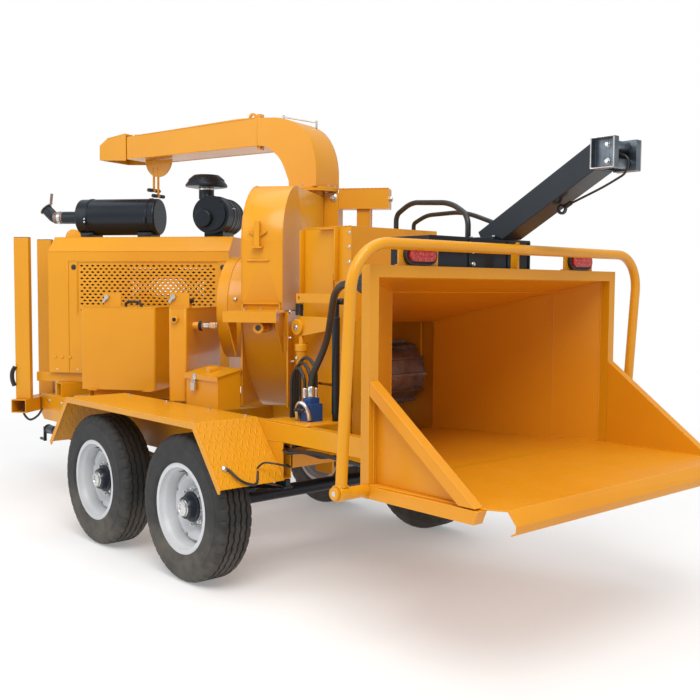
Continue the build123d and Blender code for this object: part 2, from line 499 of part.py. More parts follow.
ring = rod_z(HOOD_Z + 0.2, CHUTE_Z - 14, CHUTE_U, CHUTE_V, 74) - rod_z(HOOD_Z - 5, CHUTE_Z, CHUTE_U, CHUTE_V, 66)
ring += rod_z(CHUTE_Z - 26, CHUTE_Z - 14, CHUTE_U, CHUTE_V, 160) - rod_z(CHUTE_Z - 30, CHUTE_Z, CHUTE_U, CHUTE_V, 66)
parts["disc_hood"] = turned(Compound([hood, ring]))
w, t = CHUTE_W / 2, 5.0
JOINT_X, Z_LOW, Z_TOP = 364.0, 2471.0, 2658.0


def elbow_face(inset):
    """Elbow outline in x-z: upright at the ring, level at the joint."""
    x_back, x_front = -CHUTE_H / 2 + inset, CHUTE_H / 2 - inset
    z0 = CHUTE_Z - (1 if inset else 0)
    x_end = JOINT_X + (1 if inset else 0)
    top, low = Z_TOP - inset, Z_LOW + inset
    outer = [(x_back, z0), (x_back + 5, z0 + 160), (x_back + 50, z0 + 300), (x_back + 140, z0 + 402),
             (x_back + 270, z0 + 455), (x_end, top)]
    inner = [(x_end, low), (x_front + 180, low - 16), (x_front + 104, low - 66), (x_front + 46, low - 142),
             (x_front + 10, low - 226), (x_front, z0)]
    curve_a = Spline(*outer, tangents=[(0, 1), (1, 0.1)])
    curve_b = Spline(*inner, tangents=[(-1, -0.02), (0, -1)])
    wire = Wire([curve_a.edge(), Line(outer[-1], inner[0]).edge(), curve_b.edge(), Line(inner[-1], outer[0]).edge()])
    return Plane.XZ * make_face(wire)


elbow = Pos(0, w, 0) * extrude(elbow_face(0), 2 * w) - Pos(0, w - t, 0) * extrude(elbow_face(t), 2 * w - 2 * t)
elbow += Pos(0, 0, CHUTE_Z - 7 + 0.2) * (Cylinder(160, 13) - Cylinder(66, 20))
for y in (-105, 105):
    elbow += block(JOINT_X - 14, JOINT_X - 0.2, y - 22, y + 22, Z_TOP - 4, Z_TOP + 26)
    elbow += block(JOINT_X - 14, JOINT_X - 0.2, y - 22, y + 22, Z_LOW - 22, Z_LOW + 3)
parts["chute_elbow"] = chute(elbow)
SPOUT_X, END_LOW, END_TOP = 1540.0, 2455.0, 2617.0
spout_out = prism_y([(JOINT_X + 0.2, Z_LOW), (JOINT_X + 0.2, Z_TOP), (JOINT_X + 160, Z_TOP + 4), (SPOUT_X, END_TOP),
                     (SPOUT_X, END_LOW)], -w, w)
spout_in = prism_y([(JOINT_X - 1, Z_LOW + t), (JOINT_X - 1, Z_TOP - t), (JOINT_X + 158, Z_TOP - t + 3),
                    (SPOUT_X + 1, END_TOP - t), (SPOUT_X + 1, END_LOW + t)], -w + t, w - t)
spout = spout_out - spout_in
for y in (-105, 105):
    spout += block(JOINT_X + 0.2, JOINT_X + 14, y - 22, y + 22, Z_TOP - 4, Z_TOP + 26)
    spout += block(JOINT_X + 0.2, JOINT_X + 14, y - 22, y + 22, Z_LOW - 22, Z_LOW + 3)
ring_eye = Pos(JOINT_X + 140, 0, Z_TOP + 30) * Rot(90, 0, 0) * (Cylinder(34, 14) - Cylinder(18, 20))
spout += ring_eye
HINGE_Z = END_TOP + 14
for s in (-1, 1):
    spout += block(SPOUT_X - 40, SPOUT_X - 5, s * 70 - 8, s * 70 + 8, END_TOP - 2, HINGE_Z + 10)
spout -= rod_y(-100, 100, SPOUT_X - 14, HINGE_Z, 7.05)
parts["chute_spout"] = chute(spout)
defl = rod_y(-78, 78, SPOUT_X - 14, HINGE_Z, 7) + block(SPOUT_X - 20, SPOUT_X + 8, -55, 55, HINGE_Z - 4, HINGE_Z + 8)
defl += prism_y([(SPOUT_X + 3, END_LOW - 10), (SPOUT_X + 3, HINGE_Z + 8), (SPOUT_X + 190, HINGE_Z - 16),
                 (SPOUT_X + 265, HINGE_Z - 62), (SPOUT_X + 265, END_LOW + 6)], -w - 8, w + 8) \
    - prism_y([(SPOUT_X - 5, END_LOW - 20), (SPOUT_X - 5, HINGE_Z - 2), (SPOUT_X + 188, HINGE_Z - 22),
               (SPOUT_X + 259, HINGE_Z - 66), (SPOUT_X + 259, END_LOW - 20)], -w - 2, w + 2)
parts["chute_deflector"] = chute(defl)
QUAD_X, QUAD_R, QUAD_Z = SPOUT_X - 180, 125.0, END_LOW + 0.4
quad = rod_y(-6, 6, QUAD_X, QUAD_Z, QUAD_R) - block(QUAD_X - 150, QUAD_X + 150, -10, 10, QUAD_Z, QUAD_Z + 150)
quad += rod_z(2244.2, 2400, QUAD_X + 50, 0, 9) + rod_z(2201.2, 2400, QUAD_X + 8, 0, 9)
grips = [rod_y(-60, 60, QUAD_X + 50, 2233, 11), rod_y(-60, 60, QUAD_X + 8, 2190, 11)]
parts["chute_handle"] = chute(Compound([quad] + grips))

# ------------------------------------------------------------ feed works

side = block(FEED_X0, THROAT_X - 0.3, FEED_Y0, FEED_Y0 + 10, THROAT_Z0 - 30, FEED_TOP)
far = block(FEED_X0, THROAT_X - 0.3, FEED_Y1 - 10, FEED_Y1, THROAT_Z0 - 30, FEED_TOP)
side -= block(130, 250, FEED_Y0 - 5, FEED_Y0 + 15, 985, 1585)
far -= block(130, 250, FEED_Y1 - 15, FEED_Y1 + 5, 985, 1585)
feed = side + far + block(FEED_X0, THROAT_X - 0.3, FEED_Y0, FEED_Y1, FEED_TOP - 10, FEED_TOP)
feed += block(THROAT_X - 10.3, THROAT_X - 0.3, FEED_Y0, FEED_Y1, THROAT_Z1 + 6, FEED_TOP)
feed += block(FEED_X0, FEED_X0 + 10, FEED_Y0, FEED_Y1, 1420, FEED_TOP)
feed += block(FEED_X0, 62, FEED_Y0, FEED_Y1, THROAT_Z0 - 30, THROAT_Z0 - 20)
feed += block(318, THROAT_X - 0.3, FEED_Y0, FEED_Y1, THROAT_Z0 - 30, THROAT_Z0 - 20)
duct = block(-230, -0.5, FEED_Y0, FEED_Y0 + 8, 860, 1300) + block(-480, -0.5, FEED_Y1 - 8, FEED_Y1, 860, 1300)
duct += prism_z([(-0.5, FEED_Y0), (-230, FEED_Y0), (-480, FEED_Y1), (-0.5, FEED_Y1)], 852, 860)
plane_cut = turned(block(-900, HOUSE_U1 + 0.4, -800, 1600, 700, 1700))
duct -= plane_cut
SLIDE_Y0, SLIDE_Y1 = -122.0, 502.0
carriage = block(70, 310, SLIDE_Y0, SLIDE_Y0 + 14, 930, 1560) + block(70, 310, SLIDE_Y1 - 14, SLIDE_Y1, 930, 1560)
carriage += block(70, 310, SLIDE_Y0, SLIDE_Y1, 1500, 1512) + block(160, 220, SLIDE_Y0, SLIDE_Y1, 1440, 1500)
carriage += block(150, 230, FEED_Y0 - 130, SLIDE_Y0, 1290, 1350)
carriage += prism_y([(90, 1262), (90, 1330), (120, 1366), (330, 1366), (420, 1340), (420, 1310), (330, 1290), (160, 1262)],
                    FEED_Y0 - 130, FEED_Y0 - 110)
carriage += block(118, 262, FEED_Y0 - 8, FEED_Y0 - 2, 1000, 1595)
link = block(95, 420, FEED_Y0 - 130, FEED_Y0 - 120, 1440, 1490) - rod_y(-290, -240, 118, 1465, 10)
carriage += link + rod_z(1366, 1440, 118, FEED_Y0 - 125, 13)
carriage -= rod_y(SLIDE_Y0 - 10, SLIDE_Y0 + 20, ROLLER_X, ROLLER_Z, 30.05)
carriage -= rod_y(SLIDE_Y1 - 20, SLIDE_Y1 + 10, ROLLER_X, ROLLER_Z, 30.05)


def roller(z, r, bars, y0, y1, shaft0, shaft1, shaft_r):
    body = rod_y(y0, y1, ROLLER_X, z, r - 18) - rod_y(y0 + 15, y1 - 15, ROLLER_X, z, r - 30)
    for i in range(bars):
        body += Pos(ROLLER_X, (y0 + y1) / 2, z) * Rot(0, 360 / bars * i, 0) * Pos(0, 0, r - 12) * Box(14, y1 - y0, 24)
    return body + rod_y(shaft0, shaft1, ROLLER_X, z, shaft_r)


parts["upper_feed_roller"] = roller(ROLLER_Z, ROLLER_R, 12, -92, 472, SLIDE_Y0 - 6, SLIDE_Y1 + 6, 30)
parts["lower_feed_roller"] = roller(LOWER_Z, LOWER_R, 8, -118, 498, -138, 518, 25)
upper_motor = rod_y(FEED_Y1 + 10, FEED_Y1 + 120, ROLLER_X, ROLLER_Z, 55)
upper_motor += block(150, 230, SLIDE_Y1, FEED_Y1 + 20, ROLLER_Z + 65, ROLLER_Z + 90)
upper_motor += block(140, 240, FEED_Y1 + 8, FEED_Y1 + 20, ROLLER_Z - 55, ROLLER_Z + 90)
lower_mount = block(120, 260, FEED_Y0 - 6, FEED_Y0 + 10, 500, THROAT_Z0 - 30.2) - rod_y(-160, -100, ROLLER_X, LOWER_Z, 25.05)
lower_mount2 = block(120, 260, FEED_Y1 - 10, FEED_Y1 - 0.2, 500, THROAT_Z0 - 30.2) - rod_y(480, 540, ROLLER_X, LOWER_Z, 25.05)
lower_motor = rod_y(FEED_Y0 - 90, FEED_Y0 - 6.2, ROLLER_X, LOWER_Z, 50)
parts["feed_box"] = Compound([feed] + list(duct.solids()) + [lower_mount, lower_mount2, lower_motor])

CYL_X, CYL_Y = 131.0, FEED_Y0 - 120
barrel = rod_z(RAIL_Z1 - 40, 1190, CYL_X, CYL_Y, 30) - rod_z(830, 1200, CYL_X, CYL_Y, 18.0)
barrel += rod_z(1190, 1215, CYL_X, CYL_Y, 33) - rod_z(1180, 1220, CYL_X, CYL_Y, 14.05)
parts["lift_cylinder"] = barrel
lift_rod = rod_z(842, 1261.7, CYL_X, CYL_Y, 14) + rod_z(835, 860, CYL_X, CYL_Y, 17.95)
parts["feed_carriage"] = Compound([carriage, upper_motor, lift_rod])

# ---------------------------------------------------------------- hopper

HOPPER_STATIONS = [(THROAT_X, THROAT_Y0, THROAT_Y1, THROAT_Z1), (KNEE_X, -478.0, 744.0, 1504.0),
                   (MOUTH_X - BAR - 0.2, -MOUTH_Y + BAR, MOUTH_Y - BAR, MOUTH_Z1 - BAR)]


def funnel(grow):
    """Tapered duct through the stations, grown outwards by a wall."""
    faces = []
    for x, y0, y1, z1 in HOPPER_STATIONS:
        corners = [(y0 - grow, THROAT_Z0 - grow), (y1 + grow, THROAT_Z0 - grow), (y1 + grow, z1 + grow), (y0 - grow, z1 + grow)]
        faces.append(Plane.YZ.offset(x) * make_face(Polyline(*corners, close=True)))
    return loft(faces[:2], ruled=True) + loft(faces[1:], ruled=True)


parts["hopper"] = funnel(6) - funnel(0)
frame_ring = block(MOUTH_X - BAR, MOUTH_X, -MOUTH_Y, MOUTH_Y, MOUTH_Z0, MOUTH_Z1)
frame_ring -= block(MOUTH_X - BAR - 1, MOUTH_X + 1, -MOUTH_Y + BAR, MOUTH_Y - BAR, THROAT_Z0, MOUTH_Z1 - BAR)
tray_pts = [(MOUTH_X + 0.2, -MOUTH_Y), (WING_X, -MOUTH_Y + 30), (TRAY_X, -TRAY_Y), (TRAY_X, TRAY_Y),
            (WING_X, MOUTH_Y - 30), (MOUTH_X + 0.2, MOUTH_Y)]
tray = prism_z(tray_pts, 711, THROAT_Z0)
tray += prism_y([(TRAY_X - 6, 711), (TRAY_X, 717), (TRAY_X + 40, 664), (TRAY_X + 36, 634), (TRAY_X + 12, 622),
                 (TRAY_X + 10, 627), (TRAY_X + 31, 638), (TRAY_X + 34, 663)], -TRAY_Y, TRAY_Y)
for y in (-500, 0, 500):
    tray += block(MOUTH_X + 0.2, TRAY_X - 60, y - 25, y + 25, 661, 711)


def wing(sign):
    """Triangular side guard: foot bar, sloping bar and infill sheet."""
    y0, y1 = sorted((sign * MOUTH_Y, sign * (MOUTH_Y - BAR)))
    foot = prism_y([(MOUTH_X + 0.2, MOUTH_Z0), (MOUTH_X + 0.2, 710.8), (WING_X + 12, 710.8), (WING_X - 10, MOUTH_Z0)], y0, y1)
    run, rise = WING_X - MOUTH_X, WING_Z - THROAT_Z0
    n = hypot(run, rise)
    dz = BAR * n / run
    x0 = MOUTH_X + 0.2
    tip_x = WING_X - 4
    slope_bar = prism_y([(x0, WING_Z), (x0, WING_Z - dz), (tip_x - dz * run / rise, THROAT_Z0 + 0.2), (tip_x, THROAT_Z0 + 0.2)], y0, y1)
    s = sign
    i0, i1 = sorted((s * (MOUTH_Y - BAR), s * (MOUTH_Y - BAR + 6)))
    sheet = prism_y([(x0, WING_Z - dz), (x0, THROAT_Z0 + 0.2), (tip_x - dz * run / rise, THROAT_Z0 + 0.2)], i0, i1)
    return Compound([foot, (slope_bar + sheet)])


parts["infeed_tray"] = Compound([tray] + list(wing(-1).solids()) + list(wing(1).solids()))

hoop_path = [(HOOP_X, -HOOP_Y, HOOP_Z), (HOOP_X + HOOP_LEAN, -HOOP_Y, HOOP_TOP), (HOOP_X + HOOP_LEAN, HOOP_Y, HOOP_TOP),
             (HOOP_X, HOOP_Y, HOOP_Z)]
hoop = pipe(hoop_path, 190, HOOP_R)
for s in (-1, 1):
    hoop += rod_y(s * (HOOP_Y - 26), s * (HOOP_Y + 26), HOOP_X, HOOP_Z, 34)
hoop -= rod_y(-1100, -950, HOOP_X, HOOP_Z, 15.05) + rod_y(950, 1100, HOOP_X, HOOP_Z, 15.05)
parts["control_hoop"] = hoop
pivots = []
for s in (-1, 1):
    pin = rod_y(s * (MOUTH_Y + 0.2), s * (HOOP_Y + 40), HOOP_X, HOOP_Z, 15)
    pin += rod_y(s * (MOUTH_Y + 0.2), s * (HOOP_Y - 28), HOOP_X - 1, HOOP_Z - 8, 26)
    pin += rod_y(s * (HOOP_Y + 28), s * (HOOP_Y + 40), HOOP_X, HOOP_Z, 26)
    pivots.append(pin)
pivot_valve = rod_x(1128, 1172, -722, 1540, 40) + rod_x(1150, 1180, -722, 1540, 47)
pivot_valve += block(1140, 1170, -722, -600, 1528, 1552) - funnel(6.2)
parts["mouth_frame"] = Compound([frame_ring] + pivots + [pivot_valve])

lamp_plates = []
for y in (-580, 580):
    plate = block(MOUTH_X - 30, MOUTH_X - 22, y - 120, y + 120, MOUTH_Z1 + 0.2, 1712)
    lamp_plates.append(plate + block(MOUTH_X - 45, MOUTH_X - 22, y - 120, y + 120, MOUTH_Z1 + 0.2, MOUTH_Z1 + 6))
lug = prism_y([(MOUTH_X - 40, MOUTH_Z1 + 0.2), (MOUTH_X - 40, 1700), (MOUTH_X - 10, 1740), (MOUTH_X + 0, 1740),
                             (MOUTH_X, MOUTH_Z1 + 0.2)], 60, 74) - rod_y(50, 90, MOUTH_X - 18, 1706, 12)


def lozenge(y, x0, x1, half_len, r):
    body = block(x0, x1, y - half_len + r, y + half_len - r, 1662 - r, 1662 + r)
    return body + rod_x(x0, x1, y - half_len + r, 1662, r) + rod_x(x0, x1, y + half_len - r, 1662, r)


parts["tail_lenses"] = Compound([lozenge(y, MOUTH_X - 8, MOUTH_X + 8, 78, 27) for y in (-580, 580)])
grommets = [lozenge(y, MOUTH_X - 21.8, MOUTH_X - 8.2, 92, 40) for y in (-580, 580)]
parts["lamp_housings"] = Compound(lamp_plates + grommets + [lug])

# ------------------------------------------------------------------- winch

W_Y, W_X, W_Z = 100.0, 1180.0, 1762.0
BOOM_ANGLE, BOOM_LENGTH = 29.5, 690.0
TIP_X = W_X + BOOM_LENGTH * cos(radians(BOOM_ANGLE))
TIP_Z = W_Z + BOOM_LENGTH * sin(radians(BOOM_ANGLE))
base = block(1010, 1250, -440, 275, 1560, 1757) - block(1016, 1244, -434, 269, 1500, 1751)
parts["winch_base"] = base - funnel(6.2)
boom_at = Pos(W_X, W_Y, W_Z) * Rot(0, -BOOM_ANGLE, 0)
boom = boom_at * prism_y([(-30, -54), (-30, 54), (BOOM_LENGTH + 60, 56), (BOOM_LENGTH + 60, -56)], -66, 66)
boom -= boom_at * prism_y([(40, -48), (40, 48), (BOOM_LENGTH + 61, 50), (BOOM_LENGTH + 61, -50)], -60, 60)
boom -= block(TIP_X, TIP_X + 200, -200, 400, 1900, 2400)
boom -= block(700, 1500, -200, 500, 1500, 1757.2)
boom += block(1070, 1248, W_Y - 90, W_Y + 90, 1757.2, 1769)
parts["winch_boom"] = boom
fair_x, axle_x = TIP_X + 0.3, TIP_X + 66.3
cheeks = block(fair_x, fair_x + 8, W_Y - 70, W_Y + 70, TIP_Z - 62, TIP_Z + 62)
cheeks -= block(fair_x - 1, fair_x + 9, W_Y - 40, W_Y + 40, TIP_Z - 32, TIP_Z + 32)
for s in (-1, 1):
    cheeks += block(fair_x, fair_x + 116, W_Y + s * 68, W_Y + s * 105, TIP_Z - 66, TIP_Z + 66)
for s in (-1, 1):
    cheeks -= block(fair_x + 6, fair_x + 108, W_Y + s * 74, W_Y + s * 112, TIP_Z - 60, TIP_Z + 60)
for name, z in (("top", TIP_Z + 36), ("bottom", TIP_Z - 36)):
    cheeks -= rod_y(W_Y - 90, W_Y + 90, axle_x, z, 10.05)
    spool = rod_y(W_Y - 66, W_Y + 66, axle_x, z, 23) + rod_y(W_Y - 84, W_Y + 84, axle_x, z, 10)
    parts[f"fairlead_roller_{name}"] = spool
parts["fairlead_frame"] = cheeks
tip = BOOM_LENGTH
run = [(64, 0, 8), (tip - 30, 0, 0), (tip + 60, 0, -30), (tip + 100, 0, -75), (tip + 60, 0, -128),
       (tip - 60, 0, -118), (430, 0, -84)]
line = hose(run, 5)
hook = rod_x(412, 452, 0, -84, 11) + Pos(396, 0, -84) * Rot(90, 0, 0) * (Cylinder(24, 12) - Cylinder(13, 20))
parts["winch_line"] = boom_at * Compound([line + hook])

valve = block(380, 470, -470, -390, 838, 930) + block(396, 454, -462, -398, 930, 960)
parts["control_valve"] = valve + block(230, 560, -565, -310, RAIL_Z1 + 0.3, 838)
lines = [hose([(425, -430, 960.4), (425, -430, 1060), (560, -440, 1250), (860, -650, 1500), (1000, -722, 1540),
              (1127.6, -722, 1540)], 17)]
for i in range(3):
    y, top = -456 + 26 * i, 1060 + 26 * i
    x0, x1 = 404 + 14 * i, 268 - 8 * i
    lines.append(hose([(x0, y, 960.4), (x0, y, top), ((x0 + x1) / 2, y + 10, top + 60), (x1, y + 20, top), (x1, y + 20, 838.4)], 9))
lines.append(hose([(340, 250, FEED_TOP + 0.4), (340, 250, 1930), (480, 225, 1990), (860, 130, 1960), (1040, 60, 1880),
                   (1040, 60, 1757.4)], 14))
lines.append(hose([(340, 390, FEED_TOP + 0.4), (340, 390, 1890), (460, 370, 1930), (820, 280, 1925), (1060, 250, 1850),
                   (1060, 250, 1757.4)], 12))
lines.append(hose([(347, -713, 617), (380, -700, 650), (440, -640, 640), (430, -560, 610), (380.3, -550, 620)], 5))
parts["hydraulic_lines"] = Compound(lines)
parts["height_lever"] = rod_z(838.3, 1440, LEVER_X, LEVER_Y, 17) + rod_y(LEVER_Y - 18, LEVER_Y + 120, LEVER_X, 1452, 13)

os.makedirs("parts", exist_ok=True)
for name, shape in parts.items():
    export_step(Pos(SHIFT_X, 0, 0) * shape, f"parts/{name}.step")
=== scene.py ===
import json
import math

import bmesh
import bpy
from mathutils import Matrix, Vector


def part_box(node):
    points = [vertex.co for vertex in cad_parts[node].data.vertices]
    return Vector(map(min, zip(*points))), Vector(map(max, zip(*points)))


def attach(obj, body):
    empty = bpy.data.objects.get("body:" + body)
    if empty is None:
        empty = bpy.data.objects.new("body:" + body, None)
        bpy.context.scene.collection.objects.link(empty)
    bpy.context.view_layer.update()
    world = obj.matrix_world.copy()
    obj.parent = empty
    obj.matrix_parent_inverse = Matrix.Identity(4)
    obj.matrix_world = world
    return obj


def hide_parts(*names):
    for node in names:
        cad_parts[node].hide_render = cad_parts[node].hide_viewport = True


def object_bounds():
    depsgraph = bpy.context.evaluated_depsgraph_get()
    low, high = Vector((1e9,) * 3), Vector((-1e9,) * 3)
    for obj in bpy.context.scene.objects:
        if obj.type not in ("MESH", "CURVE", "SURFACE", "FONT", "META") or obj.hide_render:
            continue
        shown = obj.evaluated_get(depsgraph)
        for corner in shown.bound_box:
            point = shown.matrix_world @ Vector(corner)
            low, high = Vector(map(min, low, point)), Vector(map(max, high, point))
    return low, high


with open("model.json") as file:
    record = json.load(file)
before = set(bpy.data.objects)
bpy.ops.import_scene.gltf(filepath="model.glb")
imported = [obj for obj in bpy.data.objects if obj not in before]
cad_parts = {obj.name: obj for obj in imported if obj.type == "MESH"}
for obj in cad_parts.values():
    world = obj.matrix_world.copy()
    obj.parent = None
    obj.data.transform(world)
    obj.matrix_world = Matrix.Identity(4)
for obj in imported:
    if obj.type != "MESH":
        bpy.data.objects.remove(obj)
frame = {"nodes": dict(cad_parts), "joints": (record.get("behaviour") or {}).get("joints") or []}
CAD_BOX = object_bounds()
JOINTS = {j["name"]: j for j in frame["joints"]}
NODES = frame["nodes"]

# Frames of reference: machine axes start at the rear axle, the engine group is turned about Z.
AXLE_X = JOINTS["wheel_rear_left_spin"]["pos_m"][0]
N = Vector(JOINTS["disc_spin"]["axis"])
V = Vector((-N.y, N.x, 0))
UP = Vector((0, 0, 1))


def M(x, y, z):
    """Machine millimetres to the row frame in metres."""
    return Vector((x / 1000 + AXLE_X, y / 1000, z / 1000))


def T(u, v, z):
    """Engine-group millimetres (u along the shaft, v across, z up) to the row frame."""
    return N * (u / 1000) + V * (v / 1000) + Vector((AXLE_X, 0, z / 1000))


# ------------------------------------------------------------------ camera, stage, light

AZ, EL, ROLL = math.radians(48.327), math.radians(3.74), math.radians(0.395)
CAMERA_AT, LENS_MM, SENSOR_MM = (4.997, -3.479, 1.519), 48.46, 36.0
back = Vector((math.sin(AZ) * math.cos(EL), -math.cos(AZ) * math.cos(EL), math.sin(EL)))
right0 = Vector((math.cos(AZ), math.sin(AZ), 0))
up0 = back.cross(right0)
right = right0 * math.cos(ROLL) + up0 * math.sin(ROLL)
up = up0 * math.cos(ROLL) - right0 * math.sin(ROLL)
cam = bpy.data.objects.new("camera", bpy.data.cameras.new("camera"))
bpy.context.scene.collection.objects.link(cam)
cam.data.lens, cam.data.sensor_width = LENS_MM, SENSOR_MM
cam.data.clip_start, cam.data.clip_end = 0.1, 400
rows = Matrix((right, up, back)).transposed().to_4x4()
cam.matrix_world = Matrix.Translation(CAMERA_AT) @ rows
bpy.context.scene.camera = cam


def nodes_of(mat):
    """Empty node tree holding one Principled shader wired to the output."""
    mat.use_nodes = True
    tree = mat.node_tree
    tree.nodes.clear()
    out = tree.nodes.new("ShaderNodeOutputMaterial")
    bsdf = tree.nodes.new("ShaderNodeBsdfPrincipled")
    tree.links.new(bsdf.outputs[0], out.inputs[0])
    return tree, bsdf


def link(tree, a, b):
    tree.links.new(a, b)


def noise(tree, scale, detail=4.0, rough=0.55, stretch=None, coord="Object"):
    """Noise factor on object coordinates, optionally stretched along an axis."""
    co = tree.nodes.new("ShaderNodeTexCoord")
    tex = tree.nodes.new("ShaderNodeTexNoise")
    tex.inputs["Scale"].default_value = scale
    tex.inputs["Detail"].default_value = detail
    tex.inputs["Roughness"].default_value = rough
    src = co.outputs[coord]
    if stretch:
        m = tree.nodes.new("ShaderNodeMapping")
        m.inputs["Scale"].default_value = stretch
        link(tree, src, m.inputs["Vector"])
        src = m.outputs[0]
    link(tree, src, tex.inputs["Vector"])
    return tex.outputs["Fac"]


def ramp(tree, fac, stops):
    r = tree.nodes.new("ShaderNodeValToRGB")
    els = r.color_ramp.elements
    while len(els) < len(stops):
        els.new(0.5)
    for e, (p, c) in zip(els, stops):
        e.position = p
        e.color = (*c, 1) if len(c) == 3 else c
    link(tree, fac, r.inputs[0])
    return r.outputs[0]


def level(tree, fac, lo, hi, out_lo, out_hi):
    """Map a value from lo..hi to out_lo..out_hi, clamped."""
    m = tree.nodes.new("ShaderNodeMapRange")
    m.inputs[1].default_value, m.inputs[2].default_value = lo, hi
    m.inputs[3].default_value, m.inputs[4].default_value = out_lo, out_hi
    link(tree, fac, m.inputs[0])
    return m.outputs[0]


def math_node(tree, op, a, b):
    """One maths node; a and b are numbers or sockets."""
    m = tree.nodes.new("ShaderNodeMath")
    m.operation = op
    for sock, val in zip(m.inputs, (a, b)):
        if isinstance(val, (int, float)):
            sock.default_value = val
        else:
            link(tree, val, sock)
    return m.outputs[0]


def mix_color(tree, fac, a, b):
    m = tree.nodes.new("ShaderNodeMix")
    m.data_type = "RGBA"
    if isinstance(fac, (int, float)):
        m.inputs[0].default_value = fac
    else:
        link(tree, fac, m.inputs[0])
    for i, val in ((6, a), (7, b)):
        if isinstance(val, tuple):
            m.inputs[i].default_value = (*val, 1)
        else:
            link(tree, val, m.inputs[i])
    return m.outputs[2]


def bump(tree, bsdf, height, strength, distance, after=None):
    """Wire a height into the shader normal, on top of an earlier bump if given."""
    b = tree.nodes.new("ShaderNodeBump")
    b.inputs["Strength"].default_value = strength
    b.inputs["Distance"].default_value = distance
    link(tree, height, b.inputs["Height"])
    if after is not None:
        link(tree, after, b.inputs["Normal"])
    link(tree, b.outputs[0], bsdf.inputs["Normal"])
    return b.outputs[0]


def low_dust(tree, top):
    """1 near the ground, 0 above top metres, broken up by noise."""
    co = tree.nodes.new("ShaderNodeTexCoord")
    sep = tree.nodes.new("ShaderNodeSeparateXYZ")
    link(tree, co.outputs["Object"], sep.inputs[0])
    h = level(tree, sep.outputs[2], 0.2, top, 1.0, 0.0)
    return math_node(tree, "MULTIPLY", h, noise(tree, 7.0, 8.0, 0.65))


def up_facing(tree):
    """1 on faces that look up, 0 on upright ones."""
    geo = tree.nodes.new("ShaderNodeNewGeometry")
    sep = tree.nodes.new("ShaderNodeSeparateXYZ")
    link(tree, geo.outputs["Normal"], sep.inputs[0])
    return level(tree, sep.outputs[2], 0.6, 0.95, 0.0, 1.0)


def paint(name, base, deep, rough=0.30, coat=0.18, dust=(0.34, 0.27, 0.18), dust_top=0.8, peel=0.03,
          scuff=0.5):
    """Sprayed enamel: tone drift, orange peel, faint scuffs, dust on ledges and low down."""
    mat = bpy.data.materials.new(name)
    tree, bsdf = nodes_of(mat)
    tone = ramp(tree, noise(tree, 1.3, 3.0), [(0.3, deep), (0.7, base)])
    fine = noise(tree, 60.0, 3.0)
    tone = mix_color(tree, level(tree, fine, 0.4, 0.7, 0.0, 0.10), tone, deep)
    ledge = math_node(tree, "MULTIPLY", up_facing(tree),
                      level(tree, noise(tree, 9.0, 7.0, 0.7), 0.48, 0.75, 0.0, 0.07))
    low = level(tree, low_dust(tree, dust_top), 0.32, 0.80, 0.0, 0.20)
    grime = math_node(tree, "MAXIMUM", ledge, low)
    tone = mix_color(tree, grime, tone, dust)
    link(tree, tone, bsdf.inputs["Base Color"])
    cloud = noise(tree, 5.0, 4.0, 0.5)
    scratches = level(tree, noise(tree, 60.0, 3.0, 0.5), 0.66, 0.78, 0.0, scuff * 0.08)
    rgh = level(tree, cloud, 0.3, 0.75, rough - 0.02, rough + 0.05)
    rgh = math_node(tree, "ADD", math_node(tree, "ADD", rgh, scratches),
                    math_node(tree, "MULTIPLY", grime, 0.8))
    link(tree, rgh, bsdf.inputs["Roughness"])
    bsdf.inputs["Specular IOR Level"].default_value = 0.32
    bsdf.inputs["Coat Weight"].default_value = coat
    bsdf.inputs["Coat Roughness"].default_value = 0.10
    first = bump(tree, bsdf, noise(tree, 420.0, 2.0, 0.4), peel, 0.0006)
    bump(tree, bsdf, noise(tree, 1.6, 1.0, 0.3), 0.05, 0.010, after=first)
    return mat


def metal(name, base, dark, rough=0.35, metallic=1.0, grain=(1.0, 1.0, 1.0), rust=0.0, scale=35.0):
    """Bare or plated metal: drawn grain, mottling and optional rust bloom."""
    mat = bpy.data.materials.new(name)
    tree, bsdf = nodes_of(mat)
    tone = ramp(tree, noise(tree, scale * 0.4, 6.0, 0.6), [(0.3, dark), (0.7, base)])
    if rust:
        bloom = level(tree, noise(tree, 11.0, 9.0, 0.7), 0.62 - 0.25 * rust, 0.74, 0.0, 0.9)
        tone = mix_color(tree, bloom, tone, (0.20, 0.075, 0.03))
        link(tree, level(tree, bloom, 0.0, 1.0, metallic, 0.0), bsdf.inputs["Metallic"])
    else:
        bsdf.inputs["Metallic"].default_value = metallic
    link(tree, tone, bsdf.inputs["Base Color"])
    drawn = noise(tree, scale * 8, 3.0, 0.5, stretch=grain)
    link(tree, level(tree, drawn, 0.3, 0.7, rough - 0.08, rough + 0.14), bsdf.inputs["Roughness"])
    bump(tree, bsdf, drawn, 0.10, 0.0006)
    return mat


def spangle(name):
    """Galvanised steel with crystal spangle."""
    mat = bpy.data.materials.new(name)
    tree, bsdf = nodes_of(mat)
    co = tree.nodes.new("ShaderNodeTexCoord")
    vor = tree.nodes.new("ShaderNodeTexVoronoi")
    vor.inputs["Scale"].default_value = 90.0
    link(tree, co.outputs["Object"], vor.inputs["Vector"])
    sep = tree.nodes.new("ShaderNodeSeparateColor")
    link(tree, vor.outputs["Color"], sep.inputs[0])
    tone = ramp(tree, sep.outputs[0], [(0.0, (0.42, 0.43, 0.44)), (1.0, (0.70, 0.71, 0.72))])
    link(tree, tone, bsdf.inputs["Base Color"])
    bsdf.inputs["Metallic"].default_value = 0.9
    link(tree, level(tree, sep.outputs[1], 0.0, 1.0, 0.30, 0.52), bsdf.inputs["Roughness"])
    bump(tree, bsdf, noise(tree, 160.0, 4.0), 0.10, 0.0006)
    return mat


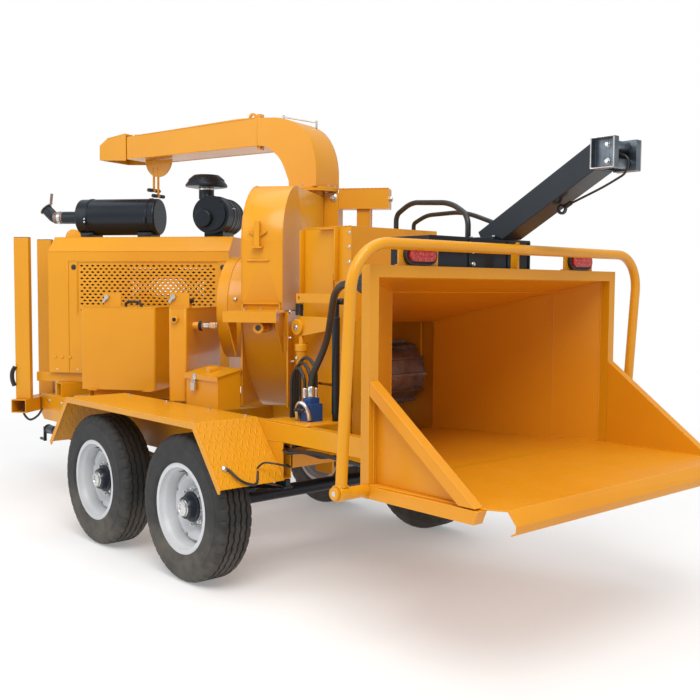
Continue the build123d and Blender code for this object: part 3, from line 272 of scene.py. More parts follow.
def rubber(name, base, light, rough=0.62, scale=90.0, dust_top=0.0, strength=0.2):
    """Rubber or moulded plastic with a fine grain and optional low dust."""
    mat = bpy.data.materials.new(name)
    tree, bsdf = nodes_of(mat)
    tone = ramp(tree, noise(tree, scale * 0.2, 6.0, 0.6), [(0.35, base), (0.75, light)])
    if dust_top:
        low = level(tree, low_dust(tree, dust_top), 0.28, 0.7, 0.0, 0.45)
        tone = mix_color(tree, low, tone, (0.20, 0.17, 0.13))
    link(tree, tone, bsdf.inputs["Base Color"])
    grain = noise(tree, scale * 4, 3.0, 0.6)
    link(tree, level(tree, grain, 0.3, 0.7, rough - 0.08, rough + 0.1), bsdf.inputs["Roughness"])
    bump(tree, bsdf, grain, strength, 0.0008)
    return mat


ORANGE, ORANGE_DEEP = (0.70, 0.300, 0.006), (0.65, 0.270, 0.005)
MAT = {
    "orange": paint("enamel_orange", ORANGE, ORANGE_DEEP),
    "orange_floor": paint("enamel_orange_worn", (0.74, 0.300, 0.008), (0.68, 0.255, 0.006), rough=0.36,
                          scuff=1.0, coat=0.1),
    "black": paint("enamel_black", (0.008, 0.014, 0.022), (0.005, 0.009, 0.015), rough=0.30, coat=0.08,
                   dust=(0.05, 0.05, 0.05), dust_top=0.7),
    "silver": paint("enamel_silver", (0.62, 0.63, 0.65), (0.50, 0.51, 0.53), rough=0.36, coat=0.2,
                    dust_top=0.9),
    "blue": paint("enamel_blue", (0.010, 0.07, 0.26), (0.006, 0.045, 0.18), rough=0.32),
    "zinc": spangle("galvanised"),
    "steel": metal("bare_steel", (0.56, 0.55, 0.53), (0.34, 0.33, 0.31), rough=0.36, rust=0.25),
    "bright": metal("plated_steel", (0.72, 0.72, 0.71), (0.55, 0.55, 0.54), rough=0.22),
    "roller": metal("worn_roller_steel", (0.40, 0.38, 0.36), (0.20, 0.18, 0.17), rough=0.42, rust=0.6),
    "cast": paint("enamel_engine", (0.11, 0.115, 0.12), (0.06, 0.06, 0.065), rough=0.45, coat=0.0),
    "tyre": rubber("tyre_rubber", (0.012, 0.012, 0.012), (0.028, 0.027, 0.026), rough=0.66, dust_top=0.55),
    "steel_dark": metal("oiled_steel", (0.22, 0.25, 0.28), (0.10, 0.12, 0.14), rough=0.34),
    "hose": rubber("hose_rubber", (0.010, 0.010, 0.010), (0.022, 0.022, 0.022), rough=0.40, strength=0.1),
    "plastic": rubber("moulded_plastic", (0.012, 0.012, 0.013), (0.026, 0.026, 0.027), rough=0.48,
                      strength=0.12),
    "rust": metal("exhaust_steel", (0.45, 0.40, 0.36), (0.22, 0.15, 0.11), rough=0.48, rust=0.8),
}


def lens_material():
    mat = bpy.data.materials.new("red_lens")
    tree, bsdf = nodes_of(mat)
    co = tree.nodes.new("ShaderNodeTexCoord")
    vor = tree.nodes.new("ShaderNodeTexVoronoi")
    vor.inputs["Scale"].default_value = 70.0
    link(tree, co.outputs["Object"], vor.inputs["Vector"])
    tone = ramp(tree, vor.outputs["Distance"], [(0.05, (0.85, 0.06, 0.03)), (0.5, (0.34, 0.006, 0.006))])
    link(tree, tone, bsdf.inputs["Base Color"])
    link(tree, level(tree, noise(tree, 40.0), 0.3, 0.7, 0.10, 0.18), bsdf.inputs["Roughness"])
    bsdf.inputs["Coat Weight"].default_value = 0.8
    bsdf.inputs["Emission Color"].default_value = (0.9, 0.03, 0.02, 1)
    bsdf.inputs["Emission Strength"].default_value = 0.10
    bump(tree, bsdf, vor.outputs["Distance"], 0.35, 0.002)
    return mat


def chequer_material():
    """Painted chequer plate: short raised bars laid alternately crosswise."""
    mat = paint("enamel_chequer_plate", ORANGE, ORANGE_DEEP, rough=0.33)
    tree = mat.node_tree
    bsdf = next(n for n in tree.nodes if n.type == "BSDF_PRINCIPLED")
    co = tree.nodes.new("ShaderNodeTexCoord")
    heights = []
    pitch, bar_scale = 0.040, (2.6, 8.5, 0)
    for angle, shift in ((45, 0.0), (-45, 0.5)):
        m = tree.nodes.new("ShaderNodeMapping")
        m.inputs["Location"].default_value = (shift, shift, 0)
        m.inputs["Scale"].default_value = (1 / pitch, 1 / pitch, 0.0)
        link(tree, co.outputs["Object"], m.inputs["Vector"])
        fr = tree.nodes.new("ShaderNodeVectorMath")
        fr.operation = "FRACTION"
        link(tree, m.outputs[0], fr.inputs[0])
        sub = tree.nodes.new("ShaderNodeVectorMath")
        sub.operation = "SUBTRACT"
        sub.inputs[1].default_value = (0.5, 0.5, 0)
        link(tree, fr.outputs[0], sub.inputs[0])
        rot = tree.nodes.new("ShaderNodeVectorRotate")
        rot.rotation_type = "Z_AXIS"
        rot.inputs["Angle"].default_value = math.radians(angle)
        link(tree, sub.outputs[0], rot.inputs["Vector"])
        sc = tree.nodes.new("ShaderNodeVectorMath")
        sc.operation = "MULTIPLY"
        sc.inputs[1].default_value = bar_scale
        link(tree, rot.outputs[0], sc.inputs[0])
        ln = tree.nodes.new("ShaderNodeVectorMath")
        ln.operation = "LENGTH"
        link(tree, sc.outputs[0], ln.inputs[0])
        heights.append(level(tree, ln.outputs["Value"], 0.55, 1.0, 1.0, 0.0))
    h = math_node(tree, "MAXIMUM", heights[0], heights[1])
    last = bsdf.inputs["Normal"].links[0].from_socket
    bump(tree, bsdf, h, 0.9, 0.0022, after=last)
    return mat


MAT["lens"] = lens_material()
MAT["chequer"] = chequer_material()

NODE_MATS = {
    "black": ["air_cleaner", "axles", "jack_crank", "leaf_springs", "muffler", "stowed_jack",
              "winch_base", "winch_boom", "height_lever"],
    "steel_dark": ["fairlead_frame", "fairlead_roller_bottom", "fairlead_roller_top"],
    "bright": ["padlocks"],
    "steel": ["cooling_fan", "cutting_disc", "disc_sheave", "engine_sheave"],
    "rust": ["rain_cap"],
    "roller": ["lower_feed_roller", "upper_feed_roller"],
    "silver": ["wheel_front_left", "wheel_front_right", "wheel_rear_left", "wheel_rear_right"],
    "tyre": ["tyre_front_left", "tyre_front_right", "tyre_rear_left", "tyre_rear_right"],
    "cast": ["engine_block"],
    "hose": ["drive_belts", "hydraulic_lines", "winch_line"],
    "blue": ["control_valve"],
    "lens": ["tail_lenses"],
    "chequer": ["fenders"],
    "orange_floor": ["infeed_tray", "hopper"],
}
SLOT_OF = {n: m for m, ns in NODE_MATS.items() for n in ns}
SMOOTH_ONLY = ("tyre_", "hydraulic_lines", "winch_line", "drive_belts", "cutting_disc", "cooling_fan")
for name, obj in NODES.items():
    obj.data.materials.clear()
    obj.data.materials.append(MAT[SLOT_OF.get(name, "orange")])
    weld = obj.modifiers.new("weld", "WELD")
    weld.merge_threshold = 0.00002
    if not name.startswith(SMOOTH_ONLY):
        bev = obj.modifiers.new("bevel", "BEVEL")
        bev.width = 0.0022
        bev.segments = 2
        bev.limit_method = "ANGLE"
        bev.angle_limit = math.radians(40)
        bev.use_clamp_overlap = True
        bev.harden_normals = False

# ------------------------------------------------------------------ mesh kit

MR = Matrix.Identity(3)
TR = Matrix((N, V, UP)).transposed()


def frame_at(axis):
    """Rotation whose local Z is the axis."""
    return Vector(axis).normalized().to_track_quat("Z", "Y").to_matrix()


def add_box(bm, at, size, rot=MR, bevel=0.002):
    """Box with rounded edges, centred at a point."""
    made = bmesh.ops.create_cube(bm, size=1.0)["verts"]
    bmesh.ops.scale(bm, vec=Vector(size), verts=made)
    if bevel:
        edges = list({e for v in made for e in v.link_edges})
        cut = bmesh.ops.bevel(bm, geom=edges, offset=min(bevel, 0.3 * min(size)), segments=2, affect="EDGES",
                              profile=0.5)
        made = list({v for f in cut["faces"] for v in f.verts} | {v for v in made if v.is_valid})
    bmesh.ops.transform(bm, matrix=Matrix.Translation(at) @ rot.to_4x4(), verts=made)


def span_box(bm, place, a, b, rot, bevel=0.002):
    """Box between two opposite corners given in millimetres of a machine frame."""
    mid = place(*[(p + q) / 2 for p, q in zip(a, b)])
    add_box(bm, mid, [abs(q - p) / 1000 for p, q in zip(a, b)], rot, bevel)


def add_lathe(bm, at, axis, profile, segments=32):
    """Closed solid turned from (distance along the axis, radius) points."""
    rot = frame_at(axis)
    rings = []
    for h, r in profile:
        if r <= 1e-6:
            rings.append([bm.verts.new(at + rot @ Vector((0, 0, h)))])
            continue
        ring = []
        for i in range(segments):
            a = 2 * math.pi * i / segments
            ring.append(bm.verts.new(at + rot @ Vector((r * math.cos(a), r * math.sin(a), h))))
        rings.append(ring)
    for lo, hi in zip(rings, rings[1:]):
        for i in range(segments):
            j = (i + 1) % segments
            quad = [lo[i % len(lo)], lo[j % len(lo)], hi[j % len(hi)], hi[i % len(hi)]]
            face = list(dict.fromkeys(quad))
            if len(face) > 2:
                bm.faces.new(face)
    for ring, flip in ((rings[0], True), (rings[-1], False)):
        if len(ring) > 1:
            bm.faces.new(list(reversed(ring)) if flip else ring)


def add_rod(bm, a, b, r, segments=24, chamfer=0.0012):
    a, b = Vector(a), Vector(b)
    n = (b - a).length
    c = min(chamfer, r * 0.4, n * 0.4)
    add_lathe(bm, a, b - a, [(0, r - c), (c, r), (n - c, r), (n, r - c)], segments)


def add_bolt(bm, at, axis, d=0.012):
    """Hex head on a washer, with a chamfered crown."""
    axis = Vector(axis).normalized()
    add_lathe(bm, at, axis, [(0, d * 1.05), (d * 0.16, d * 1.05), (d * 0.18, d)], 20)
    add_lathe(bm, at + axis * d * 0.17, axis, [(0, d * 0.86), (d * 0.52, d * 0.86), (d * 0.62, d * 0.70)], 6)


def add_dome(bm, at, axis, r, h):
    """Rounded rivet or lamp head."""
    add_lathe(bm, at, axis, [(0, r), (h * 0.45, r * 0.9), (h * 0.85, r * 0.5), (h, 0)], 16)


def add_path(bm, points, r, segments=12, closed=False, wave=0.0):
    """Round bar along points; wave ripples the radius, as a weld bead does."""
    pts = [Vector(p) for p in points]
    count = len(pts)
    rings = []
    last = None
    for i, p in enumerate(pts):
        before = pts[i - 1] if i or closed else p
        after = pts[(i + 1) % count] if i < count - 1 or closed else p
        d = (after - before).normalized()
        if last is None:
            side = d.orthogonal().normalized()
        else:
            side = (last - d * last.dot(d)).normalized()
        last = side
        other = d.cross(side)
        rr = r * (1 + wave * math.sin(i * 1.9))
        rings.append([bm.verts.new(p + (side * math.cos(a) + other * math.sin(a)) * rr)
                      for a in (2 * math.pi * k / segments for k in range(segments))])
    pairs = list(zip(rings, rings[1:])) + ([(rings[-1], rings[0])] if closed else [])
    for lo, hi in pairs:
        for k in range(segments):
            j = (k + 1) % segments
            bm.faces.new((lo[k], lo[j], hi[j], hi[k]))
    if not closed:
        bm.faces.new(list(reversed(rings[0])))
        bm.faces.new(rings[-1])


def curve_points(points, per=14):
    """Smooth Catmull-Rom line through points."""
    p = [Vector(q) for q in points]
    p = [p[0] * 2 - p[1]] + p + [p[-1] * 2 - p[-2]]
    out = []
    for a, b, c, d in zip(p, p[1:], p[2:], p[3:]):
        for i in range(per):
            t = i / per
            out.append(0.5 * ((2 * b) + (c - a) * t + (2 * a - 5 * b + 4 * c - d) * t * t
                              + (3 * b - a - 3 * c + d) * t ** 3))
    return out + [p[-2]]


def add_weld(bm, a, b, r=0.0035):
    """Rippled weld bead between two points."""
    a, b = Vector(a), Vector(b)
    steps = max(4, int((b - a).length / 0.008))
    add_path(bm, [a.lerp(b, i / steps) for i in range(steps + 1)], r, 6, wave=0.22)


def add_slab(bm, outline, place, w0, w1, axes):
    """Prism from a 2-D outline (mm) between two depths; axes orders the three coordinates."""
    rings = []
    for w in (w0, w1):
        rings.append([bm.verts.new(place(*[(p, q, w)[k] for k in axes])) for p, q in outline])
    bm.faces.new(list(reversed(rings[0])))
    bm.faces.new(rings[1])
    for i in range(len(outline)):
        j = (i + 1) % len(outline)
        bm.faces.new((rings[0][i], rings[0][j], rings[1][j], rings[1][i]))


def piece(name, bm, mat, body="frame", sharp=35):
    """Finish a mesh as a named piece that rides on a body of the frame."""
    bmesh.ops.recalc_face_normals(bm, faces=bm.faces)
    mesh = bpy.data.meshes.new(name)
    bm.to_mesh(mesh)
    bm.free()
    mesh.materials.append(MAT[mat])
    for p in mesh.polygons:
        p.use_smooth = True
    mesh.set_sharp_from_angle(angle=math.radians(sharp))
    obj = bpy.data.objects.new(name, mesh)
    bpy.context.scene.collection.objects.link(obj)
    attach(obj, body)
    return obj


class Group:
    """Detail meshes gathered by body and material, one piece each."""

    def __init__(self):
        self.meshes = {}

    def __call__(self, region, mat, body="frame"):
        """The mesh that collects this region, material and body."""
        return self.meshes.setdefault((region, mat, body), bmesh.new())

    def build(self):
        for (region, mat, body), bm in self.meshes.items():
            piece(f"{region}_{mat}", bm, mat, body)


G = Group()
X_OUT, Y_OUT = Vector((1, 0, 0)), Vector((0, -1, 0))

# ------------------------------------------------------------------ wheels and tyres

TREAD_DIVISIONS = 240
STUD_CIRCLE_R = 0.095


def tyre_mesh(centre, out, name, body, node):
    """Radial road tyre: bead, ribbed sidewall, shoulder blocks and four zigzag grooves."""
    prof = [(-0.078, 0.2215), (-0.0905, 0.2358), (-0.0975, 0.2366), (-0.1005, 0.243), (-0.1022, 0.2445),
            (-0.1024, 0.250), (-0.1040, 0.252), (-0.1052, 0.285), (-0.1055, 0.300), (-0.1042, 0.318),
            (-0.1046, 0.320), (-0.1046, 0.326), (-0.1030, 0.328), (-0.1000, 0.347), (-0.0965, 0.358),
            (-0.0900, 0.3705), (-0.0790, 0.3795), (-0.0700, 0.3822)]
    grooves = (-0.0505, -0.0175, 0.0175, 0.0505)
    for g in grooves:
        prof += [(g - 0.0058, 0.3832), (g - 0.0040, 0.3722), (g + 0.0040, 0.3722), (g + 0.0058, 0.3832)]
    prof += [(-w, r) for w, r in reversed(prof[:18])]
    rot = frame_at(out)
    bm = bmesh.new()
    rings = []
    for i in range(TREAD_DIVISIONS):
        a = 2 * math.pi * i / TREAD_DIVISIONS
        phase = i % 6
        ring = []
        for w, r in prof:
            zig = 0.0022 * (1 if (i // 3) % 2 else -1) if abs(w) < 0.06 and r > 0.37 else 0.0
            rr = r
            if 0.062 < abs(w) < 0.097 and r > 0.355 and phase == 0:
                rr = r - 0.0065
            if 0.0 <= abs(w) < 0.0505 - 0.006 and r > 0.382 and phase == 3 and abs(abs(w) - 0.034) < 0.012:
                rr = r - 0.003
            ring.append(bm.verts.new(centre + rot @ Vector((rr * math.cos(a), rr * math.sin(a), w + zig))))
        rings.append(ring)
    m = len(prof)
    for i in range(TREAD_DIVISIONS):
        a, b = rings[i], rings[(i + 1) % TREAD_DIVISIONS]
        for k in range(m - 1):
            bm.faces.new((a[k], b[k], b[k + 1], a[k + 1]))
        bm.faces.new((a[m - 1], b[m - 1], b[0], a[0]))
    obj = piece(name, bm, "tyre", body, sharp=30)
    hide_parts(node)


for end in ("front", "rear"):
    for side, sign in (("left", -1), ("right", 1)):
        body = f"wheel_{end}_{side}"
        centre = Vector(JOINTS[f"{body}_spin"]["pos_m"])
        out = Vector((0, sign, 0))
        tyre_mesh(centre, out, f"tyre_detail_{end}_{side}", body, f"tyre_{end}_{side}")
        dark = G(f"hub_{end}_{side}", "black", body)
        add_lathe(dark, centre + out * 0.0235, out,
                  [(0, 0.0785), (0.010, 0.0785), (0.014, 0.066), (0.040, 0.0600), (0.0450, 0.0575)], 40)
        bright = G(f"hub_{end}_{side}", "bright", body)
        add_lathe(bright, centre + out * 0.0675, out,
                  [(0, 0.044), (0.008, 0.044), (0.011, 0.041), (0.020, 0.041), (0.0225, 0.037),
                                                      (0.0225, 0.024), (0.0165, 0.022), (0.0165, 0)], 36)
        rot = frame_at(out)
        for i in range(8):
            a = math.radians(45 * i)
            spot = centre + rot @ Vector((STUD_CIRCLE_R * math.cos(a), STUD_CIRCLE_R * math.sin(a), 0.0))
            add_lathe(bright, spot + out * 0.002, out,
                      [(0, 0.0165), (0.002, 0.0165), (0.0022, 0.0145), (0.017, 0.0145), (0.019, 0.012)], 6)
            add_rod(bright, spot + out * 0.016, spot + out * 0.034, 0.0072, 12)
        a = math.radians(118)
        stem = centre + rot @ Vector((0.196 * math.cos(a), 0.196 * math.sin(a), -0.005))
        add_path(G(f"hub_{end}_{side}", "hose", body),
                 [stem, stem + out * 0.03, stem + out * 0.055 + rot @ Vector((-0.012, 0, 0))], 0.0045, 10)
        flange = G(f"rim_{end}_{side}", "silver", body)
        for s in (1, -1):
            ring = [centre + rot @ Vector((0.2340 * math.cos(t), 0.2340 * math.sin(t), s * 0.0925))
                    for t in (2 * math.pi * k / 96 for k in range(96))]
            add_path(flange, ring, 0.0034, 8, closed=True)

# ------------------------------------------------------------------ fenders

FENDER_TOP, FENDER_FRONT, FENDER_REAR = 845, -1266, 160
for side, s in (("left", -1), ("right", 1)):
    y = 972 * s
    rim_bar = G(f"fender_{side}", "orange")
    for p, q in (((FENDER_FRONT, FENDER_TOP), (FENDER_REAR, FENDER_TOP)),
                 ((FENDER_REAR, FENDER_TOP), (396, 546)),
                 ((FENDER_FRONT, FENDER_TOP), (-1510, 546))):
        add_path(rim_bar, [M(p[0], y - 3 * s, p[1] - 2), M(q[0], y - 3 * s, q[1] - 2)], 0.0042, 10)
    bolts = G(f"fender_{side}", "bright")
    for x in (-1150, -700, -250, 100):
        add_bolt(bolts, M(x, 610 * s, FENDER_TOP), UP, 0.011)
    add_dome(bolts, M(330, 900 * s, 632), Vector((0.785, 0, 0.62)), 0.017, 0.014)
    lead = G(f"fender_{side}", "hose")
    route = [M(336, 892 * s, 634), M(352, 880 * s, 622), M(392, 850 * s, 580), M(404, 800 * s, 555),
             M(392, 750 * s, 552), M(350, 714 * s, 600)]
    add_path(lead, curve_points(route), 0.007, 10)

# ------------------------------------------------------------------ enclosure

ENC_U0, ENC_U1, ENC_V0, ENC_V1, ENC_TOP = -2241, -882, 947, 1680, 1872
SHOULDER_V, SHOULDER_Z, LATCH_Z = 1050, 1769, 1657
seams = G("enclosure", "orange")
span_box(seams, T, (-2084, 942.5, 1700), (-885, 946.8, 1706), TR, 0.001)
span_box(seams, T, (-2088, 942.5, 905), (-2082, 946.8, 1706), TR, 0.001)
for a, b in (((-2023, 1317), (-947, 1323)), ((-2023, 1697), (-947, 1703)), ((-2023, 1317), (-2017, 1703)),
             ((-953, 1317), (-947, 1703))):
    for v0, v1 in ((943.5, 946.8), (1680.2, 1683.5)):
        span_box(seams, T, (a[0], v0, a[1]), (b[0], v1, b[1]), TR, 0.001)
for v, z in ((ENC_V0, SHOULDER_Z), (SHOULDER_V, ENC_TOP)):
    add_weld(seams, T(ENC_U0, v, z), T(ENC_U1, v, z), 0.0028)
for u in (-2192, -2137, -2075):
    add_dome(seams, T(u, 946.5, 1013), -V, 0.013, 0.007)
lug_at = T(-2100, 1062, ENC_TOP)
add_lathe(seams, lug_at + V * 0.006, -V, [(0, 0.060), (0.012, 0.060), (0.0125, 0.058)], 40)
latches = G("enclosure", "plastic")
for u in (-2040, -925):
    for v, out in ((ENC_V0, -V), (ENC_V1, V)):
        add_lathe(latches, T(u, v, LATCH_Z), out,
                  [(0, 0.019), (0.004, 0.019), (0.006, 0.016), (0.006, 0.009), (0.003, 0.008), (0.003, 0)],
                  28)
        add_box(latches, T(u, v, LATCH_Z) + out * 0.005, (0.004, 0.022, 0.010), frame_at(N), 0.001)
rivets = G("enclosure", "bright")
for u in range(-2180, -900, 160):
    for v, out in ((ENC_V0, -V), (ENC_V1, V)):
        add_dome(rivets, T(u, v, 925), out, 0.006, 0.003)
front = G("enclosure_front", "black")
for k in range(14):
    z = 1010 + 50 * k
    span_box(front, T, (-2236, 1045, z), (-2228, 1582, z + 8), TR, 0.001)
for k in range(7):
    v = 1060 + 84 * k
    span_box(front, T, (-2233, v, 1000), (-2229, v + 5, 1700), TR, 0.0005)

# muffler, air cleaner
PIPE_V, PIPE_Z = 1300, 2034
AIR_U, STEM_U, STEM_V = -1075, -1135, 1200
band = G("muffler", "black")
for u in (-2068, -1600):
    add_lathe(band, T(u, PIPE_V, PIPE_Z), N, [(0, 0.1375), (0.016, 0.1375), (0.016, 0.1335), (0, 0.1335)], 64)
    add_box(band, T(u + 8, 1161, 2000), (0.016, 0.020, 0.040), TR, 0.002)
bolt = G("muffler", "bright")
for z in (1990, 2012):
    add_bolt(bolt, T(-2060, 1153, z), -V, 0.008)
clamp = G("muffler_outlet", "bright")
sleeve = G("muffler_outlet", "rust")
add_lathe(sleeve, T(-2301, PIPE_V, PIPE_Z), -N, [(0, 0.0425), (0, 0.0445), (0.070, 0.0445), (0.070, 0.0425)],
          40)
add_lathe(clamp, T(-2318, PIPE_V, PIPE_Z), -N, [(0, 0.0475), (0.022, 0.0475), (0.022, 0.0425), (0, 0.0425)],
          40)
cap_pivot = Vector(JOINTS["rain_cap_open"]["pos_m"])
add_rod(clamp, cap_pivot - V * 0.022, cap_pivot + V * 0.022, 0.0045, 14)
ribs = G("air_cleaner", "plastic")
A = T(AIR_U, 1120, PIPE_Z)
for k in range(16):
    a = 2 * math.pi * k / 16
    add_path(ribs, [A - V * 0.0005 + (N * math.cos(a) + UP * math.sin(a)) * 0.070,
                    A - V * 0.0005 + (N * math.cos(a) + UP * math.sin(a)) * 0.106], 0.003, 6)
for d in (0.12, 0.16, 0.20, 0.24, 0.28):
    ring = [A + V * d + (N * math.cos(t) + UP * math.sin(t)) * 0.1355
            for t in (2 * math.pi * k / 72 for k in range(72))]
    add_path(ribs, ring, 0.0028, 6, closed=True)
clip = G("air_cleaner", "bright")
for k in range(4):
    a = math.radians(20 + 90 * k)
    r = N * math.cos(a) + UP * math.sin(a)
    add_path(clip, [A + V * 0.09 + r * 0.1365, A + V * 0.115 + r * 0.147, A + V * 0.148 + r * 0.1425],
             0.0026, 8)
stem_at = T(STEM_U, STEM_V, 2212)
add_lathe(clip, stem_at, UP, [(0, 0.0545), (0.001, 0.0558), (0.014, 0.0558), (0.015, 0.0545)], 44)
add_box(clip, stem_at + UP * 0.0075 - V * 0.058, (0.022, 0.010, 0.012), TR, 0.001)
slots_bm = G("air_cleaner", "plastic")
for k in range(24):
    a = 2 * math.pi * k / 24
    r = N * math.cos(a) + V * math.sin(a)
    c0 = T(STEM_U, STEM_V, 2300)
    add_path(slots_bm, [c0 + r * 0.100 + UP * 0.008, c0 + r * 0.128 - UP * 0.018], 0.0028, 6)

# ------------------------------------------------------------------ tanks

FUEL_TANK, OIL_TANK = (-1782, -1254, 543, 903, 1385), (-915, -803, -60, 540, 1397)
CORNER_R = 14
tank = G("tanks", "orange")
for u0, u1, v0, v1, z1 in (FUEL_TANK, OIL_TANK):
    for a, b in (((u0 + CORNER_R, v0), (u1 - CORNER_R, v0)), ((u1, v0 + CORNER_R), (u1, v1 - CORNER_R)),
                 ((u0, v0 + CORNER_R), (u0, v1 - CORNER_R))):
        add_weld(tank, T(a[0], a[1], z1 - 1), T(b[0], b[1], z1 - 1), 0.003)
caps = G("tanks", "plastic")
for u, v, z, r in ((-1600, 640, FUEL_TANK[4], 0.0455), (-859, 90, OIL_TANK[4], 0.0415)):
    at = T(u, v, z + 28)
    add_lathe(caps, at, UP, [(0, r), (0.002, r + 0.0015), (0.024, r + 0.0015), (0.028, r - 0.004),
                             (0.028, 0.012), (0.024, 0.010), (0.024, 0)], 48)
    for k in range(20):
        a = 2 * math.pi * k / 20
        spot = at + Vector((math.cos(a), math.sin(a), 0)) * (r + 0.0015)
        add_rod(caps, spot + UP * 0.003, spot + UP * 0.022, 0.0022, 8)
grip = [T(-1485, 600, 1386), T(-1480, 600, 1412), T(-1440, 600, 1421), T(-1390, 600, 1415),
        T(-1372, 600, 1386)]
add_path(caps, curve_points(grip), 0.009, 12)
fit = G("tank_tap", "bright")
tap0 = T(-766, 60, 1290)
add_lathe(fit, tap0 + N * 0.026, N, [(0, 0.016), (0.002, 0.0175), (0.034, 0.0175), (0.036, 0.0155)], 32)
for k in range(5):
    d = 0.066 + 0.010 * k
    add_lathe(fit, tap0 + N * d, N, [(0, 0.0155), (0.002, 0.0228), (0.006, 0.0228), (0.008, 0.0155)], 32)
ring_bm = G("tank_tap", "black")
add_lathe(ring_bm, tap0 - N * 0.0005, N, [(0, 0.0285), (0.002, 0.0300), (0.020, 0.0300), (0.0235, 0.0270)],
          36)
port = T(-870, -82, 1330)
add_lathe(ring_bm, port - V * 0.0005, -V, [(0, 0.012), (0.002, 0.012), (0.0022, 0)], 24)
add_lathe(G("tanks", "orange"), port, -V, [(0, 0.0205), (0.003, 0.0205), (0.004, 0.019), (0.004, 0.0125),
                                           (0.0, 0.0125)], 32)

# ------------------------------------------------------------------ toolbox

tb0, tb1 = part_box("toolbox")
lid = G("toolbox_trim", "orange", "toolbox_lid")
for x in (-560, -244):
    span_box(lid, M, (x - 2, -566, 1019), (x + 6, -408, 1021), MR, 0.001)
box_trim = G("toolbox_box", "orange")
mid_x = (tb0.x + tb1.x) / 2
for dx in (-0.10, 0.10):
    add_rod(box_trim, Vector((mid_x + dx - 0.03, tb1.y + 0.0085, tb1.z + 0.004)),
            Vector((mid_x + dx + 0.03, tb1.y + 0.0085, tb1.z + 0.004)), 0.0055, 14)
hasp = G("toolbox_hasp", "bright")
lock_y = tb0.y - 0.0115
add_box(hasp, Vector((M(-458, 0, 0).x, lock_y, 1.004)), (0.030, 0.003, 0.050), MR, 0.001)
body_bm = G("toolbox_lock", "bright")
for k in range(5):
    z = 0.934 + 0.008 * k
    add_box(body_bm, Vector((M(-458, 0, 0).x, tb0.y - 0.0185, z)), (0.0408, 0.0158, 0.0055), MR, 0.001)
for x in (tb0.x, tb1.x):
    add_weld(box_trim, Vector((x, tb0.y, tb0.z)), Vector((x, tb0.y, 1.005)), 0.0022)

# ------------------------------------------------------------------ disc housing and hood

house = G("housing", "orange")
bolts = G("housing", "bright")
SHAFT_V, SHAFT_Z, HOOD_FRONT, HOOD_FOOT = 437, 1385, -163, 1396
RIM_BOLT_R, SHOULDER_R = 575, 340
for k in range(13):
    a = math.radians(180 + 15 * k)
    for u, out in ((-437, -N), (-160, N)):
        v, z = SHAFT_V + RIM_BOLT_R * math.cos(a), SHAFT_Z + RIM_BOLT_R * math.sin(a)
        if z > 860 and -140 < v < 980:
            add_bolt(bolts, T(u, v, z), out, 0.011)
span_box(house, T, (-436, -163, 1362), (-426, -186, 1386), TR)
add_slab(house, [(-445, 1388), (-183, 1388), (-183, HOOD_FOOT), (-445, HOOD_FOOT)], T, -190, -163.2,
         (0, 2, 1))
for u in (-410, -315, -218):
    add_bolt(bolts, T(u, -178, HOOD_FOOT), UP, 0.010)
for a, b in (((-425, 1432), (-208, 1432)), ((-425, 1432), (-425, HOOD_FOOT)),
             ((-208, 1432), (-208, HOOD_FOOT))):
    u0, u1 = min(a[0], b[0]) - 5, max(a[0], b[0]) + 5
    z0, z1 = min(a[1], b[1]) - 5, max(a[1], b[1]) + 5
    add_slab(house, [(u0, z0), (u1, z0), (u1, z1), (u0, z1)], T, -176, HOOD_FRONT, (0, 2, 1))
for s in (-1, 1):
    near, tip = -335 + 4 * s, -335 + 52 * s
    add_slab(house, [(near, 1812), (tip, 1838), (tip, 1830), (near, 1800)], T, -176, HOOD_FRONT, (0, 2, 1))
span_box(house, T, (-398, -172, 1668), (-272, -163, 1680), TR)
for u in (-433, -195):
    add_weld(house, T(u, HOOD_FRONT, HOOD_FOOT), T(u, HOOD_FRONT, 1780), 0.003)
    pts = [T(u, HOOD_FRONT + SHOULDER_R * (1 - math.cos(t)), 1780 + SHOULDER_R * math.sin(t))
           for t in (math.radians(3 * k) for k in range(31))]
    add_path(house, pts, 0.003, 6, wave=0.2)
tube_end = G("housing", "plastic")
add_lathe(tube_end, T(-285, -334, 1300), V, [(0, 0.0148), (0.001, 0.0148), (0.0012, 0)], 24)
for k in range(8):
    a = 2 * math.pi * k / 8 + 0.2
    add_bolt(bolts, T(-497, SHAFT_V + 68 * math.cos(a), SHAFT_Z + 68 * math.sin(a)), -N, 0.008)

# belt guard
guard = G("belt_guard_trim", "orange")
gb = G("belt_guard_trim", "bright")
for a in (170, 100, 20, 300, 350):
    t = math.radians(a)
    mid_v, r = (SHAFT_V, 325 - 34) if 90 < a < 270 else (1300, 230 - 34)
    add_bolt(gb, T(-680, mid_v + r * math.cos(t), SHAFT_Z + r * math.sin(t)), -N, 0.010)
add_dome(gb, T(-560, SHAFT_V - 325, 1450), -V, 0.012, 0.009)
for k in range(9):
    v0 = 560 + 60 * k
    add_slab(guard, [(v0, 1350), (v0 + 34, 1350), (v0 + 34, 1362), (v0, 1362)], T, -683, -680, (2, 0, 1))

# top beam, chute ring
bb = G("top_beam_trim", "bright")
for u, v, z, out in ((236, 950, 2110, N), (-128, 869, 2118, -V)):
    add_bolt(bb, T(u, v, z), out, 0.022)
ob = G("top_beam_trim", "orange")
for z in (2046, 2177):
    add_weld(ob, T(-100, 885, z), T(235, 885, z), 0.003)
for v in (905, 995):
    add_weld(ob, T(105, v, 1500), T(105, v, 2045), 0.003)
cb = G("chute_ring", "bright", "chute")
for k in range(10):
    a = 2 * math.pi * k / 10
    add_bolt(cb, T(-270 + 140 * math.cos(a), 900 + 140 * math.sin(a), 2188), UP, 0.009)

